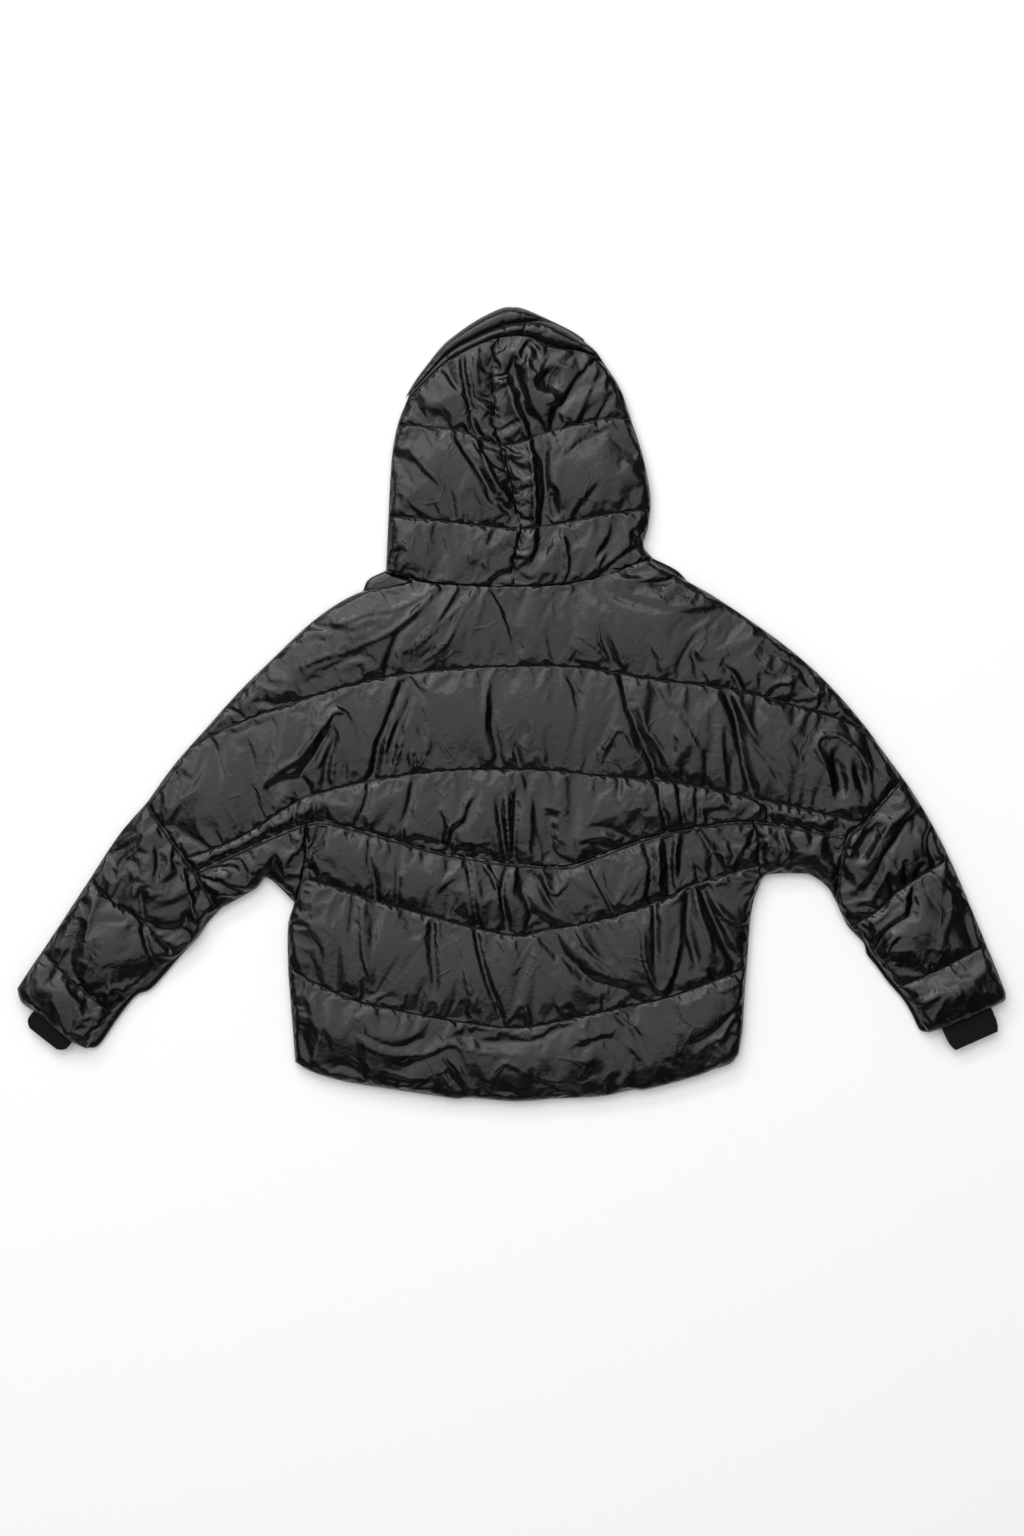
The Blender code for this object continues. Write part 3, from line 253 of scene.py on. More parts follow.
BACK_CREASES = (
    # the fan from the neck, over the left shoulder and down to the first quilting line
    (6, 3.2, -75, 118, -87, 107, -103, 99, -118, 93, -141, 89, -154, 84, -172, 78, -179, 82, -176, 87),
    (6, 3.7, -71, 116, -96, 89, -112, 76, -127, 67, -145, 59, -163, 51, -185, 46, -208, 36, -221, 31),
    (9, -3.6, -80, 96, -96, 83, -110, 72, -116, 60, -121, 47, -125, 34),
    (5, 2.8, -54, 116, -72, 84, -91, 64, -109, 49, -119, 39),
    (5, 2.9, -34, 114, -58, 90, -74, 74, -89, 61, -109, 43),
    (5, 2.7, -32, 112, -44, 98, -54, 82, -62, 64, -72, 53, -93, 39),
    (6, -1.8, -40, 106, -54, 90, -62, 74, -72, 64),
    (7, -2.9, -72, 60, -85, 49, -95, 39),
    (6, 1.6, -25, 112, -34, 84, -36, 68),
    (5, 2, -23, 112, -13, 96, -7, 82, -3, 68, 1, 53),
    (6, -1.4, -11, 94, -2, 76, 4, 62),
    (6, 1.5, -3, 116, 3, 110, 11, 102),
    (10, -3, -118, 85, -139, 77, -160, 70, -180, 71),
    (10, -2.7, -128, 59, -150, 50, -175, 38, -205, 27),
    (5, -1.9, -199, 65, -179, 61),
    (6, -1.8, -197, 78, -174, 74, -152, 78),
    (6, 1.8, -208, 63, -194, 69, -170, 67),
    (12, -1.6, -221, 26, -201, 25, -172, 31),
    (5, -1.9, -145, 40, -156, 34),
    (6, -1.5, -134, 47, -143, 36),
    (6, -3.7, -264, 0, -248, 3, -232, 1, -221, 4),
    (6, -2, -250, 18, -249, 9, -255, 2),
    (6, 2.6, -248, 16, -232, 11, -221, 13, -212, 11),
    (8, 2, -246, 24, -219, 25),
    (6, -1.8, -285, -4, -270, -9),
    # right of the middle and over the right shoulder
    (8, -1.9, 52, 100, 66, 78, 74, 66),
    (5, 2, 58, 96, 70, 68, 87, 55, 99, 43, 104, 35),
    (5, -1.8, 54, 49, 62, 43, 69, 39),
    (4, -1.4, 92, 46, 84, 38),
    (15, -3.7, 85, 114, 107, 107, 127, 100, 149, 93, 174, 89, 201, 92, 219, 94),
    (6, 2.6, 102, 124, 134, 124, 145, 128, 156, 126),
    (5, -2.9, 131, 119, 147, 121, 158, 125),
    (5, 2, 140, 112, 147, 104, 158, 98),
    (4, -1.1, 111, 98, 143, 67, 160, 51),
    (6, 2, 136, 67, 145, 49, 152, 31),
    (8, -2.6, 85, 80, 91, 64, 98, 48, 102, 36),
    (6, 2, 94, 78, 105, 58, 113, 36),
    (7, -2.6, 171, 58, 181, 47, 185, 33, 192, 22),
    (7, 2.3, 185, 65, 187, 51, 194, 36),
    (7, -2.9, 207, 49, 212, 38, 221, 29, 228, 16),
    (7, 2, 218, 44, 228, 30, 236, 15),
    (9, -1.2, 192, 64, 200, 66),
    (6, -2.4, 243, 36, 248, 27, 250, 11),
    (6, 2.3, 250, 45, 252, 38, 259, 31, 272, 30),
    (6, -3.1, 256, 9, 263, 16, 272, 18, 279, 20),
    (5, 2.8, 263, 20, 274, 20, 279, 24, 288, 24, 292, 19),
    (5, 3.1, 290, 13, 292, 9, 303, 8, 306, 4, 304, -2),
    (6, -2, 262, 5, 280, 3, 294, 1),
    (4, 2.3, 310, -7, 321, -9, 328, -12),
    (13, -2.4, 236, 69, 250, 56, 268, 46, 283, 38, 294, 25, 297, 11),
    # between the first two quilting lines, left of the middle
    (5, 1.3, -282, -25, -253, -11, -226, -2),
    (12, -2, -279, -30, -253, -22, -232, -14),
    (6, 1.5, -150, 18, -179, 2, -197, -16),
    (6, 4.9, -161, -25, -161, -13, -168, -8, -177, -11, -188, -25, -199, -40, -210, -54, -219, -60, -232,
     -68, -241, -75),
    (14, -6.6, -172, -15, -185, -33, -195, -49, -204, -62, -210, -72, -209, -84),
    (7, 3.3, -179, -33, -190, -56, -197, -76),
    (8, -3.4, -167, -18, -174, -33, -181, -51, -185, -71, -187, -80),
    (5, 2.3, -174, -49, -179, -78),
    (5, -2, -165, -56, -167, -74),
    (11, -9.5, -252, -88, -243, -83, -233, -78, -224, -76, -214, -78, -205, -84),
    (9, -5, -108, 20, -118, -7, -125, -25, -132, -40, -136, -60, -141, -74),
    (4, 3.3, -112, -11, -121, -29, -125, -45, -130, -58),
    (8, -3.3, -93, 20, -107, -11, -116, -31, -123, -49, -127, -62),
    (5, 2.6, -91, -4, -101, -18, -109, -38, -115, -59, -119, -70),
    (6, -2.3, -80, 31, -86, 16),
    (4, 2.3, -99, -61, -98, -48, -93, -50, -91, -60),
    (8, -1.4, -91, -16, -88, -38),
    (6, 1.6, -80, -24, -84, -54),
    (6, 1.5, -63, -32, -60, -48),
    (12, -3.1, -17, 24, -17, -5, -19, -24, -13, -42, -9, -60),
    (4, 2.1, -15, 35, -22, 24, -25, 2, -26, -30, -23, -40),
    # and right of it
    (16, -2.3, 12, -12, 11, -30, 8, -46),
    (7, -3.5, 3, -34, 5, -50, 7, -62),
    (6, 2, 22, -8, 21, -30, 16, -48),
    (4, 2.5, -7, -63, 0, -52, 7, -63),
    (5, 1.6, 56, 25, 60, 7, 64, -8, 62, -18),
    (4, 1.1, 36, 17, 35, -3),
    (6, -1.8, 54, 29, 64, 15, 78, 4),
    (4, -1.4, 72, 31, 84, 21),
    (5, 3, 94, -58, 87, -50, 90, -44, 98, -40, 102, -31, 107, -26, 116, -31, 123, -45, 127, -58),
    (7, -3.4, 104, -33, 101, -41, 96, -48, 90, -51),
    (5, -1.9, 98, -57, 103, -58, 107, -64),
    (9, -4.9, 110, 28, 114, 7, 118, -7, 125, -25, 134, -45, 140, -58, 145, -76),
    (6, 2.5, 122, 12, 134, -22, 146, -40, 156, -58, 162, -76),
    (4, -2, 141, -42, 149, -58, 157, -73),
    (10, -3, 140, 20, 149, 2, 167, -11, 181, -25, 190, -40, 194, -54, 195, -80),
    (7, 2.8, 158, -20, 174, -45, 178, -60),
    (4, -2, 169, -65, 177, -80),
    (8, 2.1, 205, -10, 209, -45, 213, -78),
    (6, -2.4, 216, -40, 221, -56, 219, -72),
    (10, -5.2, 214, 9, 221, -7, 225, -25, 228, -45, 232, -63, 239, -85),
    (7, 2.8, 222, 8, 235, -18, 244, -36, 254, -52),
    (9, -3.1, 231, -26, 248, -47, 259, -60, 265, -74, 279, -88),
    (6, 2.3, 259, -36, 272, -56, 287, -78),
    (9, -3, 244, 0, 263, -20, 277, -33, 290, -49, 303, -64),
    (5, 4.4, 321, -99, 318, -83, 315, -67, 310, -56, 304, -45, 303, -39, 308, -33, 317, -31, 326, -33, 337,
     -40, 346, -49, 353, -62, 357, -78, 358, -88),
    (17, -8.5, 317, -42, 321, -56, 326, -72, 330, -88, 331, -103),
    (5, 1.6, 330, -52, 335, -64, 340, -80, 343, -99),
    (12, -6.5, 336, -50, 343, -64, 349, -80, 351, -98),
    (8, -2.4, 355, -42, 361, -58, 370, -70),
    # between the second quilting line and the twin-stitched seam, left of the middle
    (6, -2.7, -214, -98, -216, -118),
    (5, 2.3, -199, -94, -204, -110),
    (4, -2, -197, -93, -195, -112),
    (6, -2, -185, -97, -187, -114),
    (10, -1.8, -334, -122, -318, -134, -302, -144),
    (6, 1.6, -296, -144, -318, -152),
    (9, -2.9, -141, -79, -144, -98, -153, -117),
    (7, -3.1, -97, -78, -101, -98, -108, -124),
    (3, -1, -67, -77, -93, -95),
    (4, 2.1, -99, -110, -104, -126, -99, -133, -88, -129),
    (9, -2.7, -95, -134, -69, -141, -65, -147),
    (5, 3.1, -30, -83, -43, -97, -50, -114, -61, -123, -66, -142),
    (9, -2.4, -25, -85, -37, -97, -45, -117, -56, -126, -62, -144),
    (5, 2.1, -56, -132, -46, -137, -30, -139, -18, -136),
    (6, -2.7, -52, -145, -20, -149),
    (9, 1.5, -29, -102, -28, -115),
    (9, -3.6, -13, -84, -11, -114, -7, -138, -3, -156),
    (4, 3.6, -5, -77, -4, -114, -2, -140, 0, -158),
    (9, -5.4, 5, -76, 4, -114, 3, -140, 2, -157),
    (7, 2, 19, -87, 19, -114, 18, -153),
    # and right of it
    (6, -2.7, 15, -73, 18, -88),
    (5, 2.8, 26, -107, 36, -103, 48, -106, 57, -110, 62, -118),
    (9, -2.5, 28, -111, 40, -111, 52, -114),
    (4, 2, 41, -122, 48, -116),
    (6, -2.2, 22, -136, 20, -149),
    (5, 2.1, 36, -144, 46, -136, 60, -134),
    (7, -2.6, 67, -124, 87, -122, 107, -127, 116, -132),
    (12, -2, 112, -116, 132, -118),
    (6, 2.5, 56, -136, 75, -134, 95, -132, 110, -136),
    (6, -2.7, 34, -151, 54, -153, 71, -151),
    (5, 1.6, 81, -79, 80, -93),
    (5, -2.2, 107, -75, 108, -98),
    (4, 1.6, 93, -93, 87, -100),
    (7, -3.5, 146, -75, 148, -95, 152, -112, 156, -126),
    (9, -1.6, 138, -88, 141, -112),
    (5, -2.9, 166, -80, 168, -98, 171, -122),
    (4, -1.8, 175, -85, 176, -104),
    (5, -1.9, 184, -87, 186, -114),
    (4, -2, 193, -106, 199, -117),
    (5, 2.3, 210, -93, 214, -104),
    (4, -1.8, 218, -93, 224, -104),
    (4, 3, 240, -95, 247, -104, 242, -112),
    (7, -4.2, 243, -92, 254, -102, 256, -114),
)

LOWER_CREASES = (
    # between the twin-stitched seam and the third quilting line, left of the middle
    (11, -3.7, -191, -122, -203, -161, -208, -185, -213, -200),
    (8, -2.9, -138, -130, -141, -153, -136, -173, -136, -193),
    (6, -2, -112, -150, -113, -185, -111, -198),
    (5, 2, -134, -132, -132, -142),
    (5, 2, -125, -136, -120, -153),
    (5, 2, -143, -178, -148, -190),
    (5, 2, -123, -182, -126, -194),
    (4, 1.6, -93, -167, -83, -167, -73, -177, -65, -182, -61, -188),
    (8, -2.2, -63, -158, -63, -175),
    (6, -3.7, -44, -155, -41, -173, -37, -200, -33, -220),
    (5, -1.6, -33, -163, -28, -185, -24, -202),
    (5, 3.3, -26, -163, -16, -177, -12, -197, -7, -216),
    (6, -2.1, -4, -163, -9, -181, -8, -200, -4, -220),
    (5, 2.8, 4, -163, 4, -187),
    (13, -6.2, 9, -160, 13, -185, 20, -204, 27, -221),
    # and right of it
    (8, -2.7, 22, -170, 36, -193, 50, -212),
    (5, 2.8, 31, -163, 36, -181, 44, -189, 52, -181, 58, -171),
    (8, -3.5, 41, -160, 46, -177),
    (4, -1.5, 75, -155, 83, -171, 93, -191, 103, -210, 108, -220),
    (6, 1.3, 68, -156, 76, -174, 86, -194),
    (4, -2, 122, -142, 128, -150),
    (8, -3.1, 134, -142, 139, -163, 137, -185, 141, -195),
    (6, 2.1, 145, -142, 147, -165, 147, -186),
    (7, -3.5, 153, -138, 155, -153, 158, -169, 160, -185),
    (6, 3.4, 165, -138, 163, -153, 166, -173),
    (5, 2.3, 171, -144, 180, -155, 183, -169),
    (7, -3.5, 176, -137, 183, -159, 187, -175),
    (9, -3, 201, -132, 200, -169),
    (5, -2, 212, -124, 214, -138),
    (7, 2.5, 216, -134, 213, -160),
    (7, -3.5, 243, -124, 234, -144, 224, -163),
    (5, 2, 146, -195, 156, -181),
    # between the third and fourth quilting lines
    (9, -3, -136, -200, -137, -224, -137, -258),
    (8, -2.2, -156, -193, -159, -220, -159, -238),
    (7, 2, -147, -200, -147, -236, -145, -256, -137, -271, -128, -279),
    (10, -2.2, -107, -206, -97, -224, -85, -242),
    (9, -3.3, -78, -218, -78, -250, -76, -267, -74, -284, -70, -298),
    (5, 2, -73, -216, -71, -242),
    (5, 1.6, -91, -222, -77, -216),
    (3, -1.2, -151, -275, -147, -284, -143, -289, -122, -282),
    (4, 2, -105, -284, -107, -298),
    (4, 2, -99, -282, -95, -297),
    (5, -3.4, -36, -222, -32, -242, -28, -259, -22, -279, -15, -296, -9, -313),
    (5, 2.5, -46, -250, -46, -263, -42, -279, -38, -294, -32, -305, -24, -303, -19, -302),
    (4, 2.6, -9, -316, 1, -311, 6, -302, 12, -298, 16, -304, 17, -316),
    (7, -2.4, 10, -306, 11, -317),
    (8, -2, -51, -290, -47, -310),
    (5, 1.8, -13, -232, -7, -244, -3, -256),
    (4, 1.5, 2, -236, 8, -256),
    (4, -1.4, 29, -252, 44, -264, 52, -269),
    (17, -8.6, 28, -219, 46, -242, 62, -258, 78, -272, 98, -279, 112, -286, 119, -297),
    (5, -2.4, 52, -225, 64, -238, 82, -253, 98, -265, 110, -280),
    (6, 2.8, 66, -226, 79, -245, 94, -257),
    (4, 2.5, 44, -294, 50, -305, 57, -308),
    (4, -2, 56, -296, 62, -310),
    (4, -2, 91, -288, 92, -303),
    (6, 3.3, 131, -214, 131, -236, 133, -256, 140, -275, 146, -285, 154, -282, 161, -267, 165, -248, 167,
     -222),
    (8, -3.8, 143, -200, 143, -238, 143, -252, 143, -267),
    (10, -3.7, 178, -190, 175, -216, 179, -238, 184, -252, 183, -272),
    (6, 2.8, 183, -185, 186, -202, 195, -228, 200, -246, 205, -260),
    (10, -4.1, 191, -185, 201, -212, 211, -236, 219, -252, 223, -265),
    (7, 3.3, 197, -185, 206, -202, 220, -217, 236, -217),
    (5, 2, 150, -199, 167, -194),
    (4, -2.4, 196, -262, 200, -271, 207, -282),
    # hem channel
    (4, 2.1, -60, -319, -30, -322, -8, -325, 6, -327, 16, -324, 40, -320, 62, -315),
    (14, -3, -170, -321, -149, -328, -128, -338, -108, -340, -97, -335, -74, -331, -66, -334, -45, -330, -24,
     -335, 2, -335, 20, -335, 35, -329, 48, -322),
    (9, 3.1, -160, -330, -145, -339, -128, -346, -108, -348, -87, -348, -74, -343, -59, -338, -45, -342, -24,
     -346, 10, -348, 46, -353, 73, -354, 98, -352),
    (9, -1.6, -130, -353, -108, -358, -84, -358),
    (6, 2.3, -137, -359, -122, -366, -108, -370, -91, -374, -78, -372),
    (7, -2.2, -195, -351, -179, -357, -162, -361, -149, -369, -137, -376),
    (4, 2.5, -143, -371, -131, -381),
    (4, 3.4, -74, -351, -64, -353, -53, -361, -47, -372, -41, -382, -35, -384),
    (6, -3.4, -71, -360, -62, -368, -55, -377, -48, -385),
    (5, 2.1, -73, -358, -76, -368, -67, -382),
    (5, 2.3, -26, -376, -17, -368, -13, -361, -5, -357, 5, -360, 12, -366, 25, -370, 37, -374, 58, -376, 73,
     -377, 92, -373),
    (12, -1.2, -32, -385, 14, -384, 60, -385, 100, -380),
    (12, -3.4, 46, -347, 62, -343, 77, -338, 90, -334, 106, -335, 119, -340),
    (5, -1.6, 106, -312, 119, -320, 127, -328, 140, -330),
    (4, 1.5, 108, -335, 119, -341, 131, -352, 138, -360),
    (4, -1.6, 64, -313, 73, -321),
    (7, 2.1, 62, -327, 71, -334, 81, -330),
    (7, 2, 114, -358, 123, -369),
    (4, -1.5, 146, -356, 163, -352, 177, -351),
    (9, -3, 164, -338, 188, -334, 207, -321, 219, -309, 232, -296),
    (6, 2.8, 190, -341, 200, -335, 211, -331, 217, -318, 223, -310),
    (5, 2.5, 202, -288, 219, -282, 230, -274, 234, -271),
)

UNDERARM_CREASES = (
    (5, 2.3, -206, -123, -208, -161, -213, -188),
    (5, 2.8, -206, -123, -211, -141, -222, -155, -230, -169),
    (10, -3.7, -232, -144, -236, -152, -240, -168),
    (8, 2.1, -250, -138, -252, -150),
    (5, 2.3, -281, -153, -269, -153, -259, -165),
    (7, -4.1, -306, -167, -286, -162, -270, -164, -259, -168),
    (5, 3, -306, -170, -289, -171, -268, -174),
    (6, -3.7, -310, -171, -293, -177, -275, -184, -262, -188),
    (5, 2.1, -303, -180, -288, -188, -272, -192),
    (4, 4.1, 244, -159, 246, -144, 251, -136, 256, -140, 253, -150),
    (6, -4.8, 249, -144, 250, -165),
    (4, 2.8, 260, -136, 265, -150, 259, -155),
    (5, 2.8, 271, -128, 277, -150, 271, -160),
    (8, 2, 292, -126, 295, -144),
    (15, -6.1, 323, -122, 318, -142, 307, -158),
)

SLEEVE_CREASES = (
    # left
    (5, 3.3, -359, -128, -364, -133, -371, -143, -382, -152, -389, -161, -392, -170),
    (8, -4.4, -361, -130, -355, -138, -352, -148, -351, -161, -350, -175, -346, -188),
    (10, -2.2, -366, -127, -376, -136, -387, -144, -398, -148),
    (4, -1.6, -382, -153, -371, -157),
    (9, 2.1, -338, -140, -340, -165, -338, -188),
    (6, -4.1, -370, -178, -367, -196, -366, -208),
    (6, 2.3, -376, -175, -373, -196),
    (6, 2.5, -359, -180, -357, -198),
    (14, -4.1, -362, -216, -348, -224, -332, -222, -320, -212),
    (6, -3.4, -323, -202, -325, -212, -320, -222),
    (5, 3.3, -332, -157, -327, -166, -323, -180, -318, -196, -316, -207, -313, -214),
    (5, -2.7, -331, -159, -323, -166, -316, -168),
    (5, 2.1, -333, -243, -321, -235, -311, -226),
    (4, 1.8, -375, -211, -371, -222),
    (4, -2, -380, -218, -378, -228, -370, -232),
    (6, -4.1, -366, -222, -362, -239, -357, -253, -353, -264),
    (4, 3.4, -362, -224, -353, -238, -343, -247, -334, -250),
    (5, -3, -356, -246, -347, -254, -337, -254),
    (14, -3.5, -428, -212, -435, -235, -437, -255, -433, -271, -424, -285, -412, -294),
    (8, 2.1, -411, -193, -418, -212, -423, -235, -423, -260),
    (6, -3.4, -397, -285, -385, -292),
    (6, 2.5, -449, -271, -440, -285, -428, -301, -421, -305),
    (8, 2.5, -458, -285, -453, -296, -446, -317, -442, -328),
    (9, -2.3, -447, -283, -438, -300, -430, -316),
    (6, -2.4, -423, -311, -405, -316),
    # right
    (5, 7.5, 358, -112, 352, -120, 346, -129, 340, -140, 337, -150, 333, -160),
    (11, -10, 372, -112, 364, -120, 357, -131, 351, -142, 347, -152, 341, -164),
    (8, 4.6, 384, -104, 375, -122, 367, -136, 361, -147, 355, -158, 346, -172),
    (13, -6.2, 404, -106, 391, -120, 381, -136, 371, -152, 363, -166, 354, -182, 343, -200),
    (9, 2.8, 386, -137, 378, -154, 370, -173, 360, -191, 349, -206),
    (10, 2.1, 404, -119, 409, -137, 405, -152),
    (5, -3.4, 372, -165, 377, -177, 380, -191),
    (5, -3.4, 391, -148, 391, -162, 394, -177),
    (4, -2.7, 411, -153, 406, -162, 402, -171),
    (5, 2.3, 376, -155, 382, -167, 387, -179),
    (6, -2.4, 419, -96, 418, -119, 414, -137, 421, -156),
    (4, 2.3, 414, -166, 424, -174, 429, -183, 425, -191),
    (9, -6.1, 416, -181, 403, -185, 399, -198, 394, -211, 383, -218, 373, -227, 366, -237, 359, -247),
    (6, 2.5, 380, -192, 371, -210, 361, -218),
    (5, 3.3, 389, -222, 381, -231, 374, -243, 371, -255),
    (5, -3, 393, -227, 382, -238, 376, -251),
    (6, -2.7, 343, -218, 352, -223, 362, -229),
    (7, 2.3, 431, -176, 438, -193, 438, -211, 431, -228, 424, -246, 411, -256),
    (10, -2.3, 443, -193, 449, -213, 456, -228, 462, -236),
    (4, -2.2, 399, -293, 416, -287, 432, -279),
    (7, 2.1, 404, -299, 425, -289, 437, -275),
    (9, 2, 440, -284, 449, -292),
    (9, -3.4, 395, -298, 401, -308, 411, -318),
)

HOOD_CREASES = (
    # the tuck beside the centre seam
    (12, -8.8, 4, 353, 1, 338, 4, 321, 9, 307, 14, 292, 21, 279, 27, 262, 31, 243, 33, 223, 34, 198, 34, 181,
     32, 169, 27, 154, 19, 142, 10, 131),
    (7, 3.7, -3, 345, -5, 325, 1, 305, 6, 290, 13, 277, 18, 262, 21, 240, 23, 215, 24, 190, 23, 172, 16, 155),
    (6, 3.4, 36, 218, 36, 198, 39, 184, 46, 181, 50, 186),
    (8, -3.6, 40, 222, 42, 203, 46, 187),
    (5, -3.4, -14, 270, -3, 277, 5, 281, 12, 283),
    (5, -2.4, -19, 308, -8, 314, 6, 317),
    (4, 2.5, -18, 319, -8, 321, 1, 317),
    (4, -2.2, -18, 324, -6, 328, 1, 336),
    (5, 3.4, -16, 347, -9, 336, -11, 328),
    (5, -2.6, 0, 242, 8, 234, 17, 222),
    (4, 2.5, -1, 250, 8, 246, 16, 250),
    (5, -2.2, 4, 207, 14, 214, 25, 218),
    (4, 1.8, 6, 214, 16, 222, 25, 225),
    (5, -2.0, 7, 194, 19, 201),
    (4, 1.6, 8, 202, 18, 208, 25, 210),
    (5, -2.8, 10, 184, 19, 186),
    (4, 2.4, 5, 260, 12, 265, 22, 262),
    (5, 2.5, 6, 149, 14, 147, 20, 152),
    (4, -3.1, -33, 306, -25, 305, -18, 302),
    (4, 3.4, -34, 304, -27, 295, -18, 289),
    (4, -2.8, -29, 286, -20, 288, -16, 277),
    (4, -2.8, -28, 260, -18, 255, -11, 254),
    (4, 2.5, -30, 276, -22, 268, -14, 262),
    (4, -2.7, -30, 335, -22, 333),
    (4, 2.5, -26, 241, -14, 231, -4, 228),
    (4, -2.5, -28, 248, -13, 225, 0, 212),
    # the hollows of its crown
    (28, -9, 48, 337, 43, 322, 34, 306),
    (22, -5.5, 64, 342, 76, 320, 88, 298),
    (12, -5.5, 40, 336, 28, 318, 26, 306),
    (9, -7, 85, 343, 70, 324, 56, 304, 46, 292, 43, 276),
    (6, 3.1, 14, 322, 28, 326, 38, 334),
    (6, 2.7, 36, 309, 42, 305, 44, 296),
    (6, -4.7, 18, 361, 12, 348, 11, 336),
    (5, -3.6, 20, 359, 31, 342),
    (6, 3.4, 20, 349, 17, 335, 26, 326),
    (4, 3.1, 19, 363, 26, 358, 41, 353, 58, 350),
    (4, -2.2, 26, 362, 56, 363),
    (7, 2.7, 86, 340, 81, 321, 74, 304, 64, 280),
    (7, -2.3, 90, 330, 76, 312, 71, 296),
    (5, -2.5, 98, 308, 90, 292, 86, 280),
    (7, 2.2, 95, 335, 93, 318, 98, 300),
    (5, 2.5, 80, 353, 95, 329, 107, 310),
    (12, -5, -69, 343, -59, 324, -51, 311, -44, 297),
    (16, -5.2, -102, 302, -88, 291, -68, 281),
    (5, 3.7, -45, 346, -43, 331, -39, 314, -38, 297),
    (6, 2.5, -33, 351, -35, 336, -33, 314, -31, 302),
    (7, -5.1, -48, 342, -46, 320, -42, 300, -38, 282, -33, 268),
    (5, 2, -68, 330, -62, 318, -54, 304),
    # its sides
    (10, -5.9, -50, 270, -43, 250, -30, 228, -18, 208, -5, 193, 5, 183),
    (5, 3.7, -36, 262, -28, 243, -18, 223, -8, 208, 5, 193),
    (5, 2.5, -108, 274, -99, 252, -87, 235, -77, 225, -70, 218, -67, 206),
    (7, -2.3, -82, 203, -72, 190),
    (6, -2.5, -107, 201, -92, 188),
    (10, -2, -116, 250, -104, 230, -94, 212),
    (12, -3, 104, 275, 80, 265, 68, 257, 56, 248, 46, 238),
    (9, -3.1, 92, 226, 79, 208, 69, 196, 63, 186),
    (5, 2, 92, 204, 104, 202, 120, 203),
    (14, 1.9, 112, 248, 128, 222),
    # its base
    (6, -4.7, -121, 142, -114, 152, -107, 159),
    (5, 2.9, -107, 159, -99, 149, -94, 137),
    (5, -2.5, -103, 154, -96, 142),
    (9, -2.3, -16, 172, -24, 154),
    (7, 1.9, -40, 159, -38, 134),
    (6, 2, -27, 150, -22, 130),
    (10, -5, -18, 122, -10, 129, 1, 132),
    (5, 2.9, 47, 176, 53, 159, 56, 139, 53, 125),
    (6, -3.6, 47, 176, 49, 160),
    (8, -3.3, 27, 137, 35, 157, 41, 174),
    (5, 2.2, 67, 134, 68, 127, 73, 121),
    (12, -4.2, 112, 180, 98, 162, 87, 149, 80, 135),
    (6, 2.5, 98, 153, 88, 141, 80, 131),
    (9, -3.6, 128, 159, 114, 149, 102, 140, 90, 130),
    (6, -5.5, 119, 174, 124, 164, 130, 160),
    (6, 3.6, 125, 168, 133, 158, 139, 148),
)

CROWN_CREASES = (
    (4, -2.7, -8, 380, -4, 373, 1, 366),
    (4, -2.7, 17, 380, 13, 373, 11, 366),
    (4, 1.7, 8, 388, 4, 378),
    (5, -1.9, 36, 372, 22, 362),
    (4, 2.2, 68, 366, 68, 357, 64, 346, 64, 337),
    (8, -2, -52, 356, -30, 368),
    (6, -1.6, 30, 384, 28, 376),
    (6, 1.7, -70, 352, -60, 362),
)


# ---------------------------------------------------------------------------------------------------
# Gathers: short puckers that stand off a stitched line on both sides, at a pitch along it.


class Wander(NamedTuple):
    """A slow wave along a stitched line: its size, its length, and its shift from one line to the next."""

    size: float
    length: float
    shift: int

    def at(self, along: np.ndarray, number: int) -> np.ndarray:
        """The wave's height along the line of that number."""
        return self.size * np.sin(along / self.length + self.shift * number)


class Gather(NamedTuple):
    """The puckers of one stitched line, in millimetres."""

    line: Rows
    pitch: float
    reach: float
    height: float


GATHER_STEP = 3.0
GATHER_SPAN = 3.5  # how many of its reaches a gather is felt over
PITCH_DRIFT = Wander(2.2, 31, 1)
PITCH_FLUTTER = Wander(1.4, 13, 3)
PUCKER_SLANT = 0.05
PUCKER_MEAN = 0.64  # taken off the wave, so that puckers rise and sink alike
HEIGHT_MEAN = 0.55
HEIGHT_DRIFTS = (Wander(0.45, 37, 2), Wander(1, 19, 1))  # one times the other
REACH_MEAN = 0.9
REACH_DRIFT = Wander(0.5, 23, 5)

GATHERS = tuple(Gather(*row) for row in (
    (QUILT_1, 19, 9, 0.9),
    (QUILT_2, 17, 11, 1.2),
    (TWIN_SEAM, 15, 12, 1.3),
    (QUILT_3, 17, 10, 1.0),
    (QUILT_4, 19, 9, 0.7),
    (HEM, 22, 8, 0.7),
    (ELBOW_LEFT, 16, 9, 1.0),
    (ELBOW_RIGHT, 14, 9, 0.8),
    (SLEEVE_LEFT.quilting[0], 15, 9, 1.1),
    (SLEEVE_LEFT.quilting[1], 16, 8, 0.9),
    (SLEEVE_RIGHT.quilting[0], 14, 10, 1.2),
    (SLEEVE_RIGHT.quilting[1], 16, 8, 0.9),
    (CENTRE_SEAM, 12, 9, 1.6),
    (HOOD_FOLD, 16, 8, 0.9),
    (HOOD_QUILT_1_LEFT, 18, 9, 0.9),
    (HOOD_QUILT_1_RIGHT, 18, 9, 0.9),
    (HOOD_QUILT_2_LEFT, 19, 9, 0.9),
    (HOOD_QUILT_2_RIGHT, 18, 9, 0.9),
    (NECK_SEAM, 24, 8, 0.7),
))


class SlackZone(NamedTuple):
    """A patch of gathered cloth: its middle and radius in squares, and the share by which it is longer."""

    x: float
    y: float
    radius: float
    slack: float


